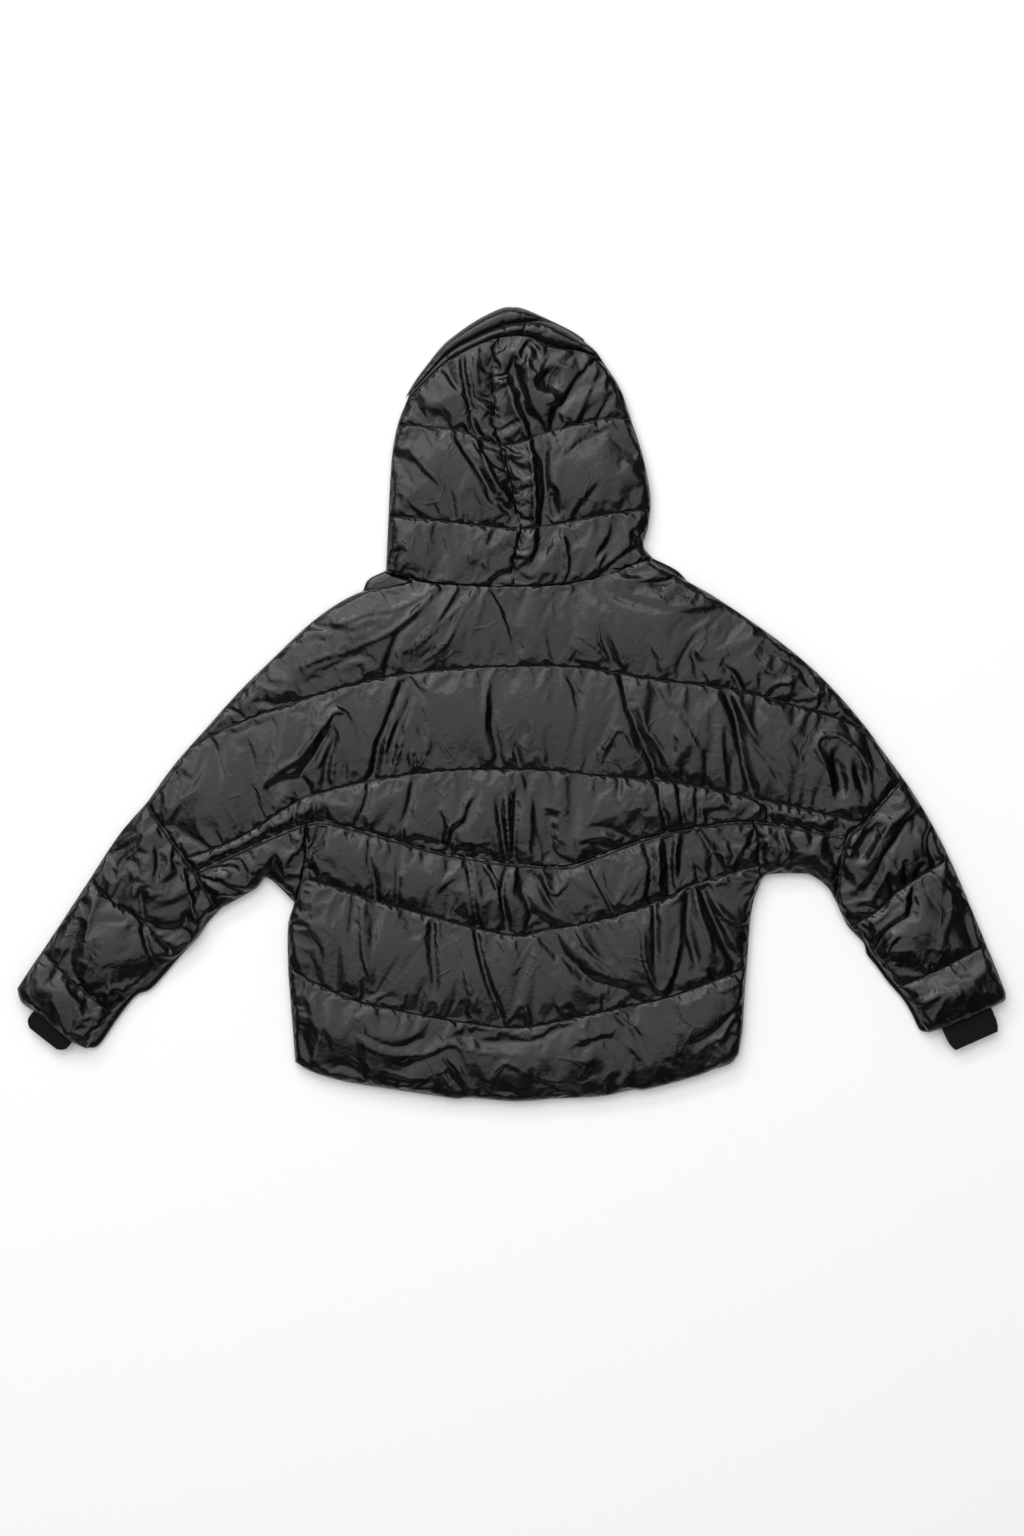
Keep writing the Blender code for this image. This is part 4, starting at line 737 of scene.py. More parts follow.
SLACK_ZONES = tuple(SlackZone(*row) for row in (
    (4, -110, 22, 0.008),
    (8, -185, 26, 0.008),
    (170, -105, 60, 0.012),
    (170, -160, 60, 0.012),
    (-20, -190, 36, 0.008),
    (345, -100, 40, 0.006),
    (350, -190, 50, 0.014),
    (255, -150, 24, 0.024),
    (-205, -150, 22, 0.022),
    (-310, -180, 34, 0.018),
    (-364, -150, 30, 0.016),
    (8, 250, 34, 0.026),
    (10, 330, 40, 0.024),
    (90, -190, 40, 0.014),
    (280, 20, 40, 0.010),
    (-150, -280, 40, 0.008),
    (190, -240, 50, 0.010),
))


class CuffSize(NamedTuple):
    """A cuff: the middle of the sleeve's mouth, the sleeve's direction, its width, how far it comes out, and
    what is left of its width at its rounded end."""

    node: str
    x: float
    y: float
    degrees: float
    width: float
    out: float
    end: float


CUFFS = (
    CuffSize("cuff_left", -572, -403, 232, 62, 17.5, 0.70),
    CuffSize("cuff_right", 568, -392, 294, 67, 30, 0.86),
)


# ---------------------------------------------------------------------------------------------------
# Plane geometry. A line is an array of points, x y, in millimetres.


def smooth(rows: Rows | Line, step: float = LINE_STEP) -> Line:
    """A smooth curve through points.

    Args:
        rows: The points.
        step: About how far apart the curve's points are.

    Returns:
        The curve's points.
    """
    rows = np.array(rows, float)
    ends = np.vstack([2 * rows[0] - rows[1], rows, 2 * rows[-1] - rows[-2]])
    share = np.linspace(0, 1, CURVE_STEPS, endpoint=False)[:, None]
    fine = [0.5 * (2 * start + (end - before) * share
                   + (2 * before - 5 * start + 4 * end - after) * share ** 2
                   + (3 * start - before - 3 * end + after) * share ** 3)
            for before, start, end, after in zip(ends, ends[1:], ends[2:], ends[3:])]
    fine = np.vstack(fine + [rows[-1]])
    along = lengths_along(fine)
    at = np.linspace(0, along[-1], max(2, round(along[-1] / step) + 1))
    return np.column_stack([np.interp(at, along, fine[:, 0]), np.interp(at, along, fine[:, 1])])


def lengths_along(line: Line) -> np.ndarray:
    """How far along a line each of its points is."""
    return np.concatenate([[0], np.cumsum(np.linalg.norm(np.diff(line, axis=0), axis=1))])


def height_on(line: Line, x: float) -> float:
    """The y at x of a line that runs in +X."""
    return float(np.interp(x, line[:, 0], line[:, 1]))


def between(line: Line, low_x: float, high_x: float) -> Line:
    """The stretch of a line that runs in +X from low_x to high_x."""
    inside = line[(line[:, 0] > low_x) & (line[:, 0] < high_x)]
    return np.vstack([(low_x, height_on(line, low_x)), inside, (high_x, height_on(line, high_x))])


def loop(*lines: Line) -> Line:
    """One closed outline, anticlockwise, from lines that follow each other."""
    points = np.vstack(lines)
    points = points[np.linalg.norm(points - np.roll(points, 1, axis=0), axis=1) > APART]
    x, y = points.T
    area = np.sum(x * np.roll(y, -1) - y * np.roll(x, -1))
    return points if area > 0 else points[::-1]


def inset(outline: Line, distance: float) -> Line:
    """An outline moved inwards."""
    ahead = np.roll(outline, -1, axis=0) - outline
    ahead /= np.linalg.norm(ahead, axis=1)[:, None]
    inward = np.column_stack([-ahead[:, 1], ahead[:, 0]])
    both = inward + np.roll(inward, 1, axis=0)
    lengths = np.maximum(np.sum(both * both, axis=1), LEAST_MITRE)
    return outline + 2 * distance * both / lengths[:, None]


def heading(line: Line) -> np.ndarray:
    """The direction in which a line runs at each of its points."""
    ahead = np.gradient(line, axis=0)
    return ahead / np.linalg.norm(ahead, axis=1)[:, None]


def beside(line: Line, distance: float) -> Line:
    """A line moved to its left by a distance, or to its right by one below 0."""
    ahead = heading(line)
    return line + distance * np.column_stack([-ahead[:, 1], ahead[:, 0]])


class Nearest(NamedTuple):
    """Where points stand to a line: the distance, the same below 0 on its right, and how far along it."""

    distance: np.ndarray
    signed: np.ndarray
    along: np.ndarray


def nearest_on(points: Line, line: Line, closed: bool = False) -> Nearest:
    """Finds each point's nearest place on a line.

    Args:
        points: The points.
        line: The line of straight stretches.
        closed: Whether its end joins its start.

    Returns:
        The distances and the places along the line.
    """
    starts = line if closed else line[:-1]
    ends = np.roll(line, -1, axis=0) if closed else line[1:]
    best, signed, along = np.full(len(points), np.inf), np.zeros(len(points)), np.zeros(len(points))
    passed = 0.0
    for start, run in zip(starts, ends - starts):
        length = max(math.hypot(*run), SHORTEST)
        off = points - start
        share = np.clip(off @ run / length ** 2, 0, 1)
        x, y = off[:, 0] - share * run[0], off[:, 1] - share * run[1]
        distance = np.hypot(x, y)
        found = distance < best
        best[found] = distance[found]
        along[found] = passed + share[found] * length
        side = np.sign(run[0] * off[:, 1] - run[1] * off[:, 0])
        signed[found] = (side * distance)[found]
        passed += length
    return Nearest(best, signed, along)


def distance_to(points: Line, line: Line, closed: bool = False) -> np.ndarray:
    """How far each point is from a line."""
    return nearest_on(points, line, closed).distance


def in_reach(points: Line, line: Line, margin: float) -> np.ndarray:
    """Which points lie in a line's box or within a margin of it."""
    return np.all((points > line.min(axis=0) - margin) & (points < line.max(axis=0) + margin), axis=1)


def within(points: Line, outline: Line) -> np.ndarray:
    """Which points lie inside a closed outline."""
    found = np.zeros(len(points), bool)
    for (x1, y1), (x2, y2) in zip(outline, np.roll(outline, -1, axis=0)):
        if y1 != y2:
            crosses = (points[:, 1] < y1) != (points[:, 1] < y2)
            found ^= crosses & (points[:, 0] < x1 + (points[:, 1] - y1) * (x2 - x1) / (y2 - y1))
    return found


def clear_of(points: Line, outline: Line, lines: Sequence[Line], distance: float) -> Line:
    """The points inside an outline that keep a distance from it and from the lines."""
    points = points[within(points, outline)]
    points = points[distance_to(points, outline, closed=True) > distance]
    for line in lines:
        points = points[distance_to(points, line) > distance]
    return points


def grid_points(outline: Line, step: float) -> Line:
    """Points in a triangle pattern over an outline's box."""
    low, high = outline.min(axis=0), outline.max(axis=0)
    rows = np.arange(low[1], high[1], step * math.sqrt(0.75))
    return np.vstack([np.column_stack([xs, np.full(len(xs), y)])
                      for row, y in enumerate(rows)
                      for xs in [np.arange(low[0] + step * (row % 2) / 2, high[0], step)]])


def triangulate(outline: Line, lines: Sequence[Line], step: float,
                rings: Sequence[float] = ()) -> tuple[Line, Faces]:
    """Fills an outline with triangles.

    Args:
        outline: The border, whose points come first in the result.
        lines: Lines that edges have to follow.
        step: How far apart the other points are.
        rings: Distances at which rows of points follow the border and both sides of every line.

    Returns:
        The points and the triangles.
    """
    last = rings[-1] if rings else 0.0
    inner = [clear_of(grid_points(outline, step), outline, lines, last + step * INNER_CLEAR)]
    for ring in rings:
        rows = [inset(outline, ring)] + [beside(line, off) for line in lines for off in (ring, -ring)]
        inner.append(clear_of(np.vstack(rows), outline, lines, ring * RING_CLEAR))
    inner = np.vstack(inner)
    places = [Vector(point) for point in outline]
    edges = [(i, (i + 1) % len(outline)) for i in range(len(outline))]
    for line in lines:
        edges += [(len(places) + i, len(places) + i + 1) for i in range(len(line) - 1)]
        places += [Vector(point) for point in line]
    places += [Vector(point) for point in inner]
    made, _, faces, _, _, _ = delaunay_2d_cdt(places, edges, [], 1, MERGED)
    return np.array([tuple(point) for point in made]), [tuple(face) for face in faces]


def sides_of(faces: np.ndarray) -> np.ndarray:
    """The sides of triangles, as pairs of points: every first side, then every second and every third."""
    return np.concatenate([faces[:, [0, 1]], faces[:, [1, 2]], faces[:, [2, 0]]])


def refine(values: np.ndarray, plain: np.ndarray,
           faces: np.ndarray) -> tuple[np.ndarray, np.ndarray, np.ndarray]:
    """Splits every triangle in four and smooths the surface as a Loop subdivision does.

    Args:
        values: One row a point, smoothed. The border keeps its points.
        plain: One row a point, carried over without smoothing.
        faces: The triangles.

    Returns:
        The new values, the new plain rows and the new triangles.
    """
    count = len(values)
    pairs = np.sort(sides_of(faces), axis=1)
    edges, where, uses = np.unique(pairs, axis=0, return_inverse=True, return_counts=True)
    where = where.reshape(-1)
    opposite = np.concatenate([faces[:, 2], faces[:, 0], faces[:, 1]])
    across = np.zeros((len(edges), values.shape[1]))
    np.add.at(across, where, values[opposite])
    ends = values[edges[:, 0]] + values[edges[:, 1]]
    inner = (uses == 2)[:, None]
    middles = np.where(inner, 0.375 * ends + 0.125 * across, 0.5 * ends)
    border = np.zeros(count, bool)
    border[edges[uses == 1].reshape(-1)] = True
    around, valence = np.zeros_like(values), np.zeros(count)
    for here, there in ((0, 1), (1, 0)):
        np.add.at(around, edges[:, here], values[edges[:, there]])
        np.add.at(valence, edges[:, here], 1)
    valence = np.maximum(valence, 3)
    weight = ((0.625 - (0.375 + 0.25 * np.cos(2 * math.pi / valence)) ** 2) / valence)[:, None]
    kept = np.where(border[:, None], values, (1 - valence[:, None] * weight) * values + weight * around)
    half = count + where.reshape(3, -1).T
    corners = [np.column_stack([faces[:, i], half[:, i], half[:, i - 1]]) for i in range(3)]
    plain_middles = (plain[edges[:, 0]] + plain[edges[:, 1]]) / 2
    return (np.vstack([kept, middles]), np.vstack([plain, plain_middles]), np.vstack(corners + [half]))


def border_ring(count: int, faces: np.ndarray) -> np.ndarray:
    """The border's points in order, once round, starting at point 0.

    Args:
        count: How many points there are.
        faces: The triangles, anticlockwise.

    Returns:
        The numbers of the border's points.
    """
    directed = sides_of(faces)
    keys = directed[:, 0] * count + directed[:, 1]
    single = ~np.isin(keys, directed[:, 1] * count + directed[:, 0])
    following = dict(directed[single].tolist())
    ring = [0]
    while following[ring[-1]] != 0:
        ring.append(following[ring[-1]])
    return np.array(ring)


# ---------------------------------------------------------------------------------------------------
# Heights


def ease(share: np.ndarray) -> np.ndarray:
    """A share from 0 to 1 with soft ends."""
    share = np.clip(share, 0, 1)
    return share * share * (3 - 2 * share)


def pillow(distance: np.ndarray, height: float, reach: float) -> np.ndarray:
    """The rise of padding at a distance from the stitching that holds it down."""
    return height * (1 - np.exp(-distance / reach))


def puff(distance: np.ndarray, loft: float, reach: float) -> np.ndarray:
    """The rise of a puff: a narrow groove beside the stitching, and a slow swell from there."""
    groove = min(GROOVE, 0.5 * loft)
    return pillow(distance, groove, GROOVE_REACH) + pillow(distance, loft - groove, reach)


def rounding(distance: np.ndarray, width: float) -> np.ndarray:
    """The lift under an edge that is rounded over a width."""
    return EDGE_LIFT * np.clip(1 - distance / width, 0, 1) ** 2


def roll_over(distance: np.ndarray) -> np.ndarray:
    """How far up a panel is at a distance from the jacket's outer edge, from 0 at it to 1 past the roll."""
    left = 1 - np.clip(distance / ROLL, 0, 1)
    return np.sqrt(1 - left ** 2)


OUTER_LINES = (SHOULDER_LEFT, SHOULDER_RIGHT, HEM, SIDE_LEFT, SIDE_RIGHT, UNDERARM_LEFT, UNDERARM_RIGHT,
               *SLEEVE_LEFT[1:4], *SLEEVE_RIGHT[1:4], HOOD_SIDE_LEFT, HOOD_SIDE_RIGHT, HOOD_RIM)


def outer_distance(points: Line) -> np.ndarray:
    """How far each point is from the jacket's outer edge."""
    return np.min([distance_to(points, smooth(edge, OUTER_STEP)) for edge in OUTER_LINES], axis=0)


def creases_at(points: Line, creases: Sequence[Crease], sewn: Sequence[Line]) -> np.ndarray:
    """The height that creases add. A crease runs out at an end that no stitched line holds.

    Args:
        points: The points.
        creases: The creases.
        sewn: The stitched lines and the border.

    Returns:
        A height for each point.
    """
    total = np.zeros(len(points))
    stitches = np.vstack(sewn)
    for width, height, *route in creases:
        route = smooth(np.reshape(route, (-1, 2)) * SQUARE, CREASE_STEP)
        near = in_reach(points, route, CREASE_SPAN * width)
        if not near.any():
            continue
        place = nearest_on(points[near], route)
        stations = lengths_along(route)
        length = stations[-1]
        ahead = heading(route)
        lean = np.interp(place.along, stations, ahead[:, 0] * LEAN_TO[1] - ahead[:, 1] * LEAN_TO[0])
        lean *= np.sign(place.signed)
        run_out = min(RUN_OUT * length, LONGEST_RUN_OUT)
        fade = np.ones(len(place.along))
        for end, far in ((route[0], place.along), (route[-1], length - place.along)):
            if np.linalg.norm(stitches - end, axis=1).min() > HELD_END:
                fade *= ease(far / run_out)
        off = place.distance / (width * (1 - TROUGH_LEAN * lean if height < 0 else 1 + RIDGE_LEAN * lean))
        if height < 0:
            shape = np.clip(1 - TROUGH_SHARE * off, 0, 1) ** TROUGH_POWER
        else:
            sharp = SHARPEST * np.clip((ROUND_FROM - width) / SHARP_SPAN, 0, 1)
            shape = (1 - sharp) * np.exp(-((ROUND_FALL * off) ** 2)) + sharp * np.exp(-SHARP_FALL * off)
        total[near] += height * fade * shape
    return total


def gathers_at(points: Line) -> np.ndarray:
    """The height that the puckers add: an uneven wave along each stitched line that dies away from it."""
    total = np.zeros(len(points))
    for number, gather in enumerate(GATHERS):
        line = smooth(gather.line, GATHER_STEP)
        near = in_reach(points, line, GATHER_SPAN * gather.reach)
        if not near.any():
            continue
        place = nearest_on(points[near], line)
        along = place.along
        turn = (2 * math.pi * along / gather.pitch + PITCH_DRIFT.at(along, number)
                + PITCH_FLUTTER.at(along, number) + PUCKER_SLANT * place.signed)
        uneven = HEIGHT_MEAN + math.prod(drift.at(along, number) for drift in HEIGHT_DRIFTS)
        reach = gather.reach * (REACH_MEAN + REACH_DRIFT.at(along, number))
        wave = np.abs(np.sin(turn / 2)) - PUCKER_MEAN
        total[near] += gather.height * uneven * wave * np.exp(-place.distance / reach)
    return total


def dents_at(points: Line, size: float, seed: int) -> np.ndarray:
    """Soft random dents and bumps, mostly from -1 to 1.

    Args:
        points: The points.
        size: About how wide a dent is.
        seed: The seed of the random draw.

    Returns:
        A value for each point.
    """
    draw = np.random.default_rng(seed)
    total = np.zeros(len(points))
    for _ in range(DENT_WAVES):
        angle, phase = draw.uniform(0, 2 * math.pi, 2)
        length = size * draw.uniform(*DENT_LENGTHS)
        total += np.sin(2 * math.pi * (points @ (math.cos(angle), math.sin(angle))) / length + phase)
    return total / math.sqrt(DENT_WAVES)


# ---------------------------------------------------------------------------------------------------
# Finishes


def linear(colour: str) -> tuple[float, float, float, float]:
    """A colour in hex sRGB as linear red, green, blue and 1."""
    shares = [int(colour[i:i + 2], 16) / 255 for i in (1, 3, 5)]
    return (*(s / 12.92 if s <= 0.04045 else ((s + 0.055) / 1.055) ** 2.4 for s in shares), 1.0)


def set_inputs(tree: bpy.types.NodeTree, node: bpy.types.Node, inputs: dict) -> None:
    """Fills a node's sockets.

    Args:
        tree: Its tree.
        node: The node.
        inputs: What goes into its sockets, by name or number: a socket to link, or a value.
    """
    for name, value in inputs.items():
        if isinstance(value, bpy.types.NodeSocket):
            tree.links.new(value, node.inputs[name])
        else:
            node.inputs[name].default_value = value


def add_node(tree: bpy.types.NodeTree, kind: str, inputs: dict | None = None, **settings) -> bpy.types.Node:
    """Adds a node to a tree.

    Args:
        tree: The tree.
        kind: The node's type.
        inputs: What goes into its sockets, as for set_inputs.
        settings: The node's own settings.

    Returns:
        The node.
    """
    made = tree.nodes.new(kind)
    for name, value in settings.items():
        setattr(made, name, value)
    set_inputs(tree, made, inputs or {})
    return made


def new_material(name: str) -> tuple[bpy.types.Material, bpy.types.NodeTree, bpy.types.Node]:
    """A new material, its tree and its shader."""
    made = bpy.data.materials.new(name)
    made.use_nodes = True
    return made, made.node_tree, made.node_tree.nodes["Principled BSDF"]


@dataclass(frozen=True)
class FauxLeather:
    """Polyurethane-coated cloth, embossed with a fine grain and calendered: near black with a semi-gloss that
    breaks up in soft crinkles and fine folds wherever the wadding under it gives."""

    colour: str = "#020202"
    worn: str = "#050506"
    # colour of a pressed line of stitching: partly the thread's own dark colour, partly painted shade of its
    # groove
    thread_and_shade_colour: str = "#030303"
    wear_scale: float = 9.0  # how often wear changes in a metre
    wear_ends: tuple[float, float] = (0.3, 0.7)  # the stretch of it over which the gloss changes
    roughness: float = 0.34
    smoother: float = 0.05
    rougher: float = 0.06
    specular: float = 0.45
    top_coat: float = 0.25  # the clear top coat is smoother than the leather under it
    top_coat_roughness: float = 0.16
    grain_mm: float = 2.6  # the real grain is about 1 mm, which is too fine to show
    grain_depth_mm: float = 0.05
    grain_strength: float = 0.7
    mottle_mm: float = 7.0  # the unevenness of the coating
    mottle_depth_mm: float = 0.6
    crinkle_mm: float = 26.0
    crinkle_depth_mm: float = 0.75
    bend_scale: float = 14.0  # how often crinkles and folds bend aside in a metre
    bend_by: float = 0.05  # and how far, in metres
    fold_mm: float = 2.2  # fine folds, as a web of lines with this half width
    fold_depth_mm: float = 0.45
    fold_webs: tuple[tuple[float, float, float], ...] = ((58.0, 3.0, 0.55), (27.0, 7.0, 0.7))
    patch_scale: float = 22.0  # folds come in patches, which fade in over this stretch of a noise
    patch_ends: tuple[float, float] = (0.52, 0.72)
    thread_mm: float = 0.9  # half the width of the pressed line that a row of stitching makes
    thread_ends: tuple[float, float] = (0.2, 1.8)  # where its wall starts and ends, in half widths
    stitch_mm: float = 3.4
    stitch_wave: tuple[float, float] = (0.22, 0.78)  # how much its depth changes, and its mean
    stitch_depth_mm: float = 0.9

    def build(self) -> bpy.types.Material:
        """Makes the material."""
        made, tree, shader = new_material("faux_leather_semi_gloss")
        place = add_node(tree, "ShaderNodeTexCoord").outputs["Object"]
        bend = add_node(tree, "ShaderNodeTexNoise",
                        {"Vector": place, "Scale": self.bend_scale, "Detail": 2.0})
        bent = add_node(tree, "ShaderNodeVectorMath", {0: bend.outputs["Color"], "Scale": self.bend_by},
                        operation="SCALE").outputs[0]
        bent = add_node(tree, "ShaderNodeVectorMath", {0: place, 1: bent}, operation="ADD").outputs[0]
        crinkle = add_node(tree, "ShaderNodeTexNoise",
                           {"Vector": bent, "Scale": 1 / (self.crinkle_mm * MM), "Detail": 4.0,
                            "Roughness": 0.5, "Lacunarity": 2.2, "Distortion": 0.5}).outputs["Fac"]
        mottle = add_node(tree, "ShaderNodeTexNoise", {"Vector": place, "Scale": 1 / (self.mottle_mm * MM),
                                                       "Detail": 2.0, "Roughness": 0.6}).outputs["Fac"]
        grain = add_node(tree, "ShaderNodeTexVoronoi", {"Vector": place, "Scale": 1 / (self.grain_mm * MM)},
                         feature="SMOOTH_F1").outputs["Distance"]
        press, stitches = self.stitching(tree)
        under = {}
        for height, depth_mm, strength, pressed in (
                (crinkle, self.crinkle_depth_mm, 1.0, False),
                *((self.fold(tree, bent, *web), self.fold_depth_mm, 1.0, False) for web in self.fold_webs),
                (mottle, self.mottle_depth_mm, 1.0, False),
                (grain, self.grain_depth_mm, self.grain_strength, False),
                (stitches, self.stitch_depth_mm, 1.0, True)):
            bump = add_node(tree, "ShaderNodeBump", {"Height": height, "Distance": depth_mm * MM,
                                                     "Strength": strength, **under}, invert=pressed)
            under = {"Normal": bump.outputs["Normal"]}
        wear = add_node(tree, "ShaderNodeTexNoise",
                        {"Vector": place, "Scale": self.wear_scale, "Detail": 3.0}).outputs["Fac"]
        colour = add_node(tree, "ShaderNodeMix", {"Factor": wear, "A": linear(self.colour),
                                                  "B": linear(self.worn)}, data_type="RGBA")
        gloss = add_node(tree, "ShaderNodeMapRange",
                         {"Value": wear, "From Min": self.wear_ends[0], "From Max": self.wear_ends[1],
                          "To Min": self.roughness - self.smoother, "To Max": self.roughness + self.rougher})
        # painted shade: along stitching the colour goes to the thread-and-shade colour, and the gloss goes
        # matte
        colour = add_node(tree, "ShaderNodeMix", {"Factor": press, "A": colour.outputs["Result"],
                                                  "B": linear(self.thread_and_shade_colour)}, data_type="RGBA")
        gloss = add_node(tree, "ShaderNodeMix", {"Factor": press, "A": gloss.outputs["Result"], "B": 1.0})
        set_inputs(tree, shader, {**under, "Base Color": colour.outputs["Result"],
                                  "Roughness": gloss.outputs["Result"], "IOR": 1.5,
                                  "Specular IOR Level": self.specular, "Coat Weight": self.top_coat,
                                  "Coat Roughness": self.top_coat_roughness})
        return made

    def fold(self, tree: bpy.types.NodeTree, place: bpy.types.NodeSocket, apart_mm: float, shift: float,
             stretch: float) -> bpy.types.NodeSocket:
        """A web of fine folds, in patches.

        Args:
            tree: The material's tree.
            place: The coordinates.
            apart_mm: About how far apart the folds are.
            shift: Where the pattern starts.
            stretch: How much longer the folds are up and down than across, below 1 for longer.

        Returns:
            Their height, from 0 to 1.
        """
        long = add_node(tree, "ShaderNodeMapping",
                        {"Vector": place, "Location": (shift, shift, shift), "Scale": (1.0, stretch, 1.0)},
                        vector_type="POINT").outputs[0]
        web = add_node(tree, "ShaderNodeTexVoronoi", {"Vector": long, "Scale": 1 / (apart_mm * MM)},
                       feature="DISTANCE_TO_EDGE").outputs["Distance"]
        patch = add_node(tree, "ShaderNodeTexNoise",
                         {"Vector": long, "Scale": self.patch_scale, "Detail": 1.0}).outputs["Fac"]
        line, some = (
            add_node(tree, "ShaderNodeMapRange",
                     {"Value": value, "From Min": start, "From Max": end, "To Min": first,
                      "To Max": 1.0 - first}, interpolation_type="SMOOTHSTEP").outputs["Result"]
            for value, start, end, first in ((web, 0.0, self.fold_mm / apart_mm, 1.0),
                                             (patch, *self.patch_ends, 0.0)))
        return add_node(tree, "ShaderNodeMath", {0: line, 1: some}, operation="MULTIPLY").outputs[0]

    def stitching(self, tree: bpy.types.NodeTree) -> tuple[bpy.types.NodeSocket, bpy.types.NodeSocket]:
        """Rows of stitches that press the surface in.

        Args:
            tree: The material's tree.

        Returns:
            How much a point is in a pressed line, which takes painted shade and a matte gloss, and how deep
            it is stitched in, both from 0 to 1.
        """
        seam = add_node(tree, "ShaderNodeUVMap", uv_map="stitching").outputs["UV"]
        seam = add_node(tree, "ShaderNodeSeparateXYZ", {0: seam})
        wave = add_node(tree, "ShaderNodeMath",
                        {0: seam.outputs["X"], 1: 2 * math.pi / (self.stitch_mm * MM)},
                        operation="MULTIPLY").outputs[0]
        wave = add_node(tree, "ShaderNodeMath", {0: wave}, operation="SINE").outputs[0]
        wave = add_node(tree, "ShaderNodeMath", {0: wave, 1: self.stitch_wave[0], 2: self.stitch_wave[1]},
                        operation="MULTIPLY_ADD").outputs[0]
        start, end = (share * self.thread_mm * MM for share in self.thread_ends)
        press = add_node(tree, "ShaderNodeMapRange",
                         {"Value": seam.outputs["Y"], "From Min": start, "From Max": end, "To Min": 1.0,
                          "To Max": 0.0}, interpolation_type="SMOOTHSTEP").outputs["Result"]
        return press, add_node(tree, "ShaderNodeMath", {0: press, 1: wave}, operation="MULTIPLY").outputs[0]


@dataclass(frozen=True)
class RibKnit:
    """Acrylic rib knit: matte black, with a little fuzz that lifts its edges."""

    colour: str = "#0b0b0c"
    stitch_mm: float = 1.7

    def build(self) -> bpy.types.Material:
        """Makes the material."""
        made, tree, shader = new_material("rib_knit_black")
        seam = add_node(tree, "ShaderNodeUVMap", uv_map="knit").outputs["UV"]
        seam = add_node(tree, "ShaderNodeVectorMath", {0: seam, "Scale": 1 / (self.stitch_mm * MM)},
                        operation="SCALE").outputs[0]
        rows = add_node(tree, "ShaderNodeTexWave", {"Vector": seam, "Scale": 0.16, "Distortion": 1.2},
                        wave_type="BANDS", bands_direction="Y").outputs["Fac"]
        place = add_node(tree, "ShaderNodeTexCoord").outputs["Object"]
        fuzz = add_node(tree, "ShaderNodeTexNoise", {"Vector": place, "Scale": 900.0, "Detail": 3.0})
        bump = add_node(tree, "ShaderNodeBump", {"Height": rows, "Distance": 0.4 * MM, "Strength": 0.8})
        bump = add_node(tree, "ShaderNodeBump", {"Height": fuzz.outputs["Fac"], "Distance": 0.3 * MM,
                                                 "Strength": 0.6, "Normal": bump.outputs["Normal"]})
        set_inputs(tree, shader, {"Normal": bump.outputs["Normal"], "Base Color": linear(self.colour),
                                  "Roughness": 0.95, "Specular IOR Level": 0.2, "Sheen Weight": 0.12,
                                  "Sheen Roughness": 0.5})
        return made


@dataclass(frozen=True)
class ZipTape:
    """Woven polyester tape: matte black with a fine twill."""

    colour: str = "#101011"
    thread_mm: float = 0.7

    def build(self) -> bpy.types.Material:
        """Makes the material."""
        made, tree, shader = new_material("woven_zip_tape")
        place = add_node(tree, "ShaderNodeTexCoord").outputs["Object"]
        twill = add_node(tree, "ShaderNodeTexWave",
                         {"Vector": place, "Scale": 0.16 / (self.thread_mm * MM), "Distortion": 0.4},
                         wave_type="BANDS", bands_direction="DIAGONAL").outputs["Fac"]
        bump = add_node(tree, "ShaderNodeBump", {"Height": twill, "Distance": 0.15 * MM, "Strength": 0.8})
        set_inputs(tree, shader, {"Normal": bump.outputs["Normal"], "Base Color": linear(self.colour),
                                  "Roughness": 0.8, "Specular IOR Level": 0.3})
        return made


@dataclass(frozen=True)
class ZipPlastic:
    """Injection-moulded acetal, as zip teeth are: black, smooth and a little glossy."""

    colour: str = "#0e0e0f"

    def build(self) -> bpy.types.Material:
        """Makes the material."""
        made, tree, shader = new_material("moulded_acetal_black")
        place = add_node(tree, "ShaderNodeTexCoord").outputs["Object"]
        flow = add_node(tree, "ShaderNodeTexNoise", {"Vector": place, "Scale": 600.0, "Detail": 2.0})
        bump = add_node(tree, "ShaderNodeBump", {"Height": flow.outputs["Fac"], "Distance": 0.05 * MM,
                                                 "Strength": 0.4})
        set_inputs(tree, shader, {"Normal": bump.outputs["Normal"], "Base Color": linear(self.colour),
                                  "Roughness": 0.32, "IOR": 1.48})
        return made


# ---------------------------------------------------------------------------------------------------
# Meshes


def to_frame(points: np.ndarray) -> np.ndarray:
    """Points in the tables' millimetres as points of the frame, in metres."""
    return (points - (*MIDDLE, 0.0)) * MM


def new_mesh_object(name: str, points: np.ndarray, faces: Faces,
                    finish: bpy.types.Material | None) -> bpy.types.Object:
    """An object with its place in its mesh.

    Args:
        name: Its name.
        points: Its points, in the tables' millimetres.
        faces: Its faces.
        finish: Its material.

    Returns:
        The object.
    """
    mesh = bpy.data.meshes.new(name)
    mesh.from_pydata(to_frame(np.asarray(points, float)).tolist(), [], faces)
    mesh.update()
    mesh.materials.append(finish)
    made = bpy.data.objects.new(name, mesh)
    bpy.context.scene.collection.objects.link(made)
    return made


def give_uv(made: bpy.types.Object, name: str, values: np.ndarray) -> None:
    """Gives a mesh a UV map from one row a point."""
    mesh = made.data
    layer = mesh.uv_layers.new(name=name)
    corners = np.empty(len(mesh.loops), np.int32)
    mesh.loops.foreach_get("vertex_index", corners)
    layer.data.foreach_set("uv", values[corners].astype(np.float32).ravel())


def shade(made: bpy.types.Object, degrees: float = SMALL_ANGLE) -> None:
    """Shades a mesh smoothly, but for edges sharper than the angle."""
    made.data.shade_smooth()
    made.data.set_sharp_from_angle(angle=math.radians(degrees))


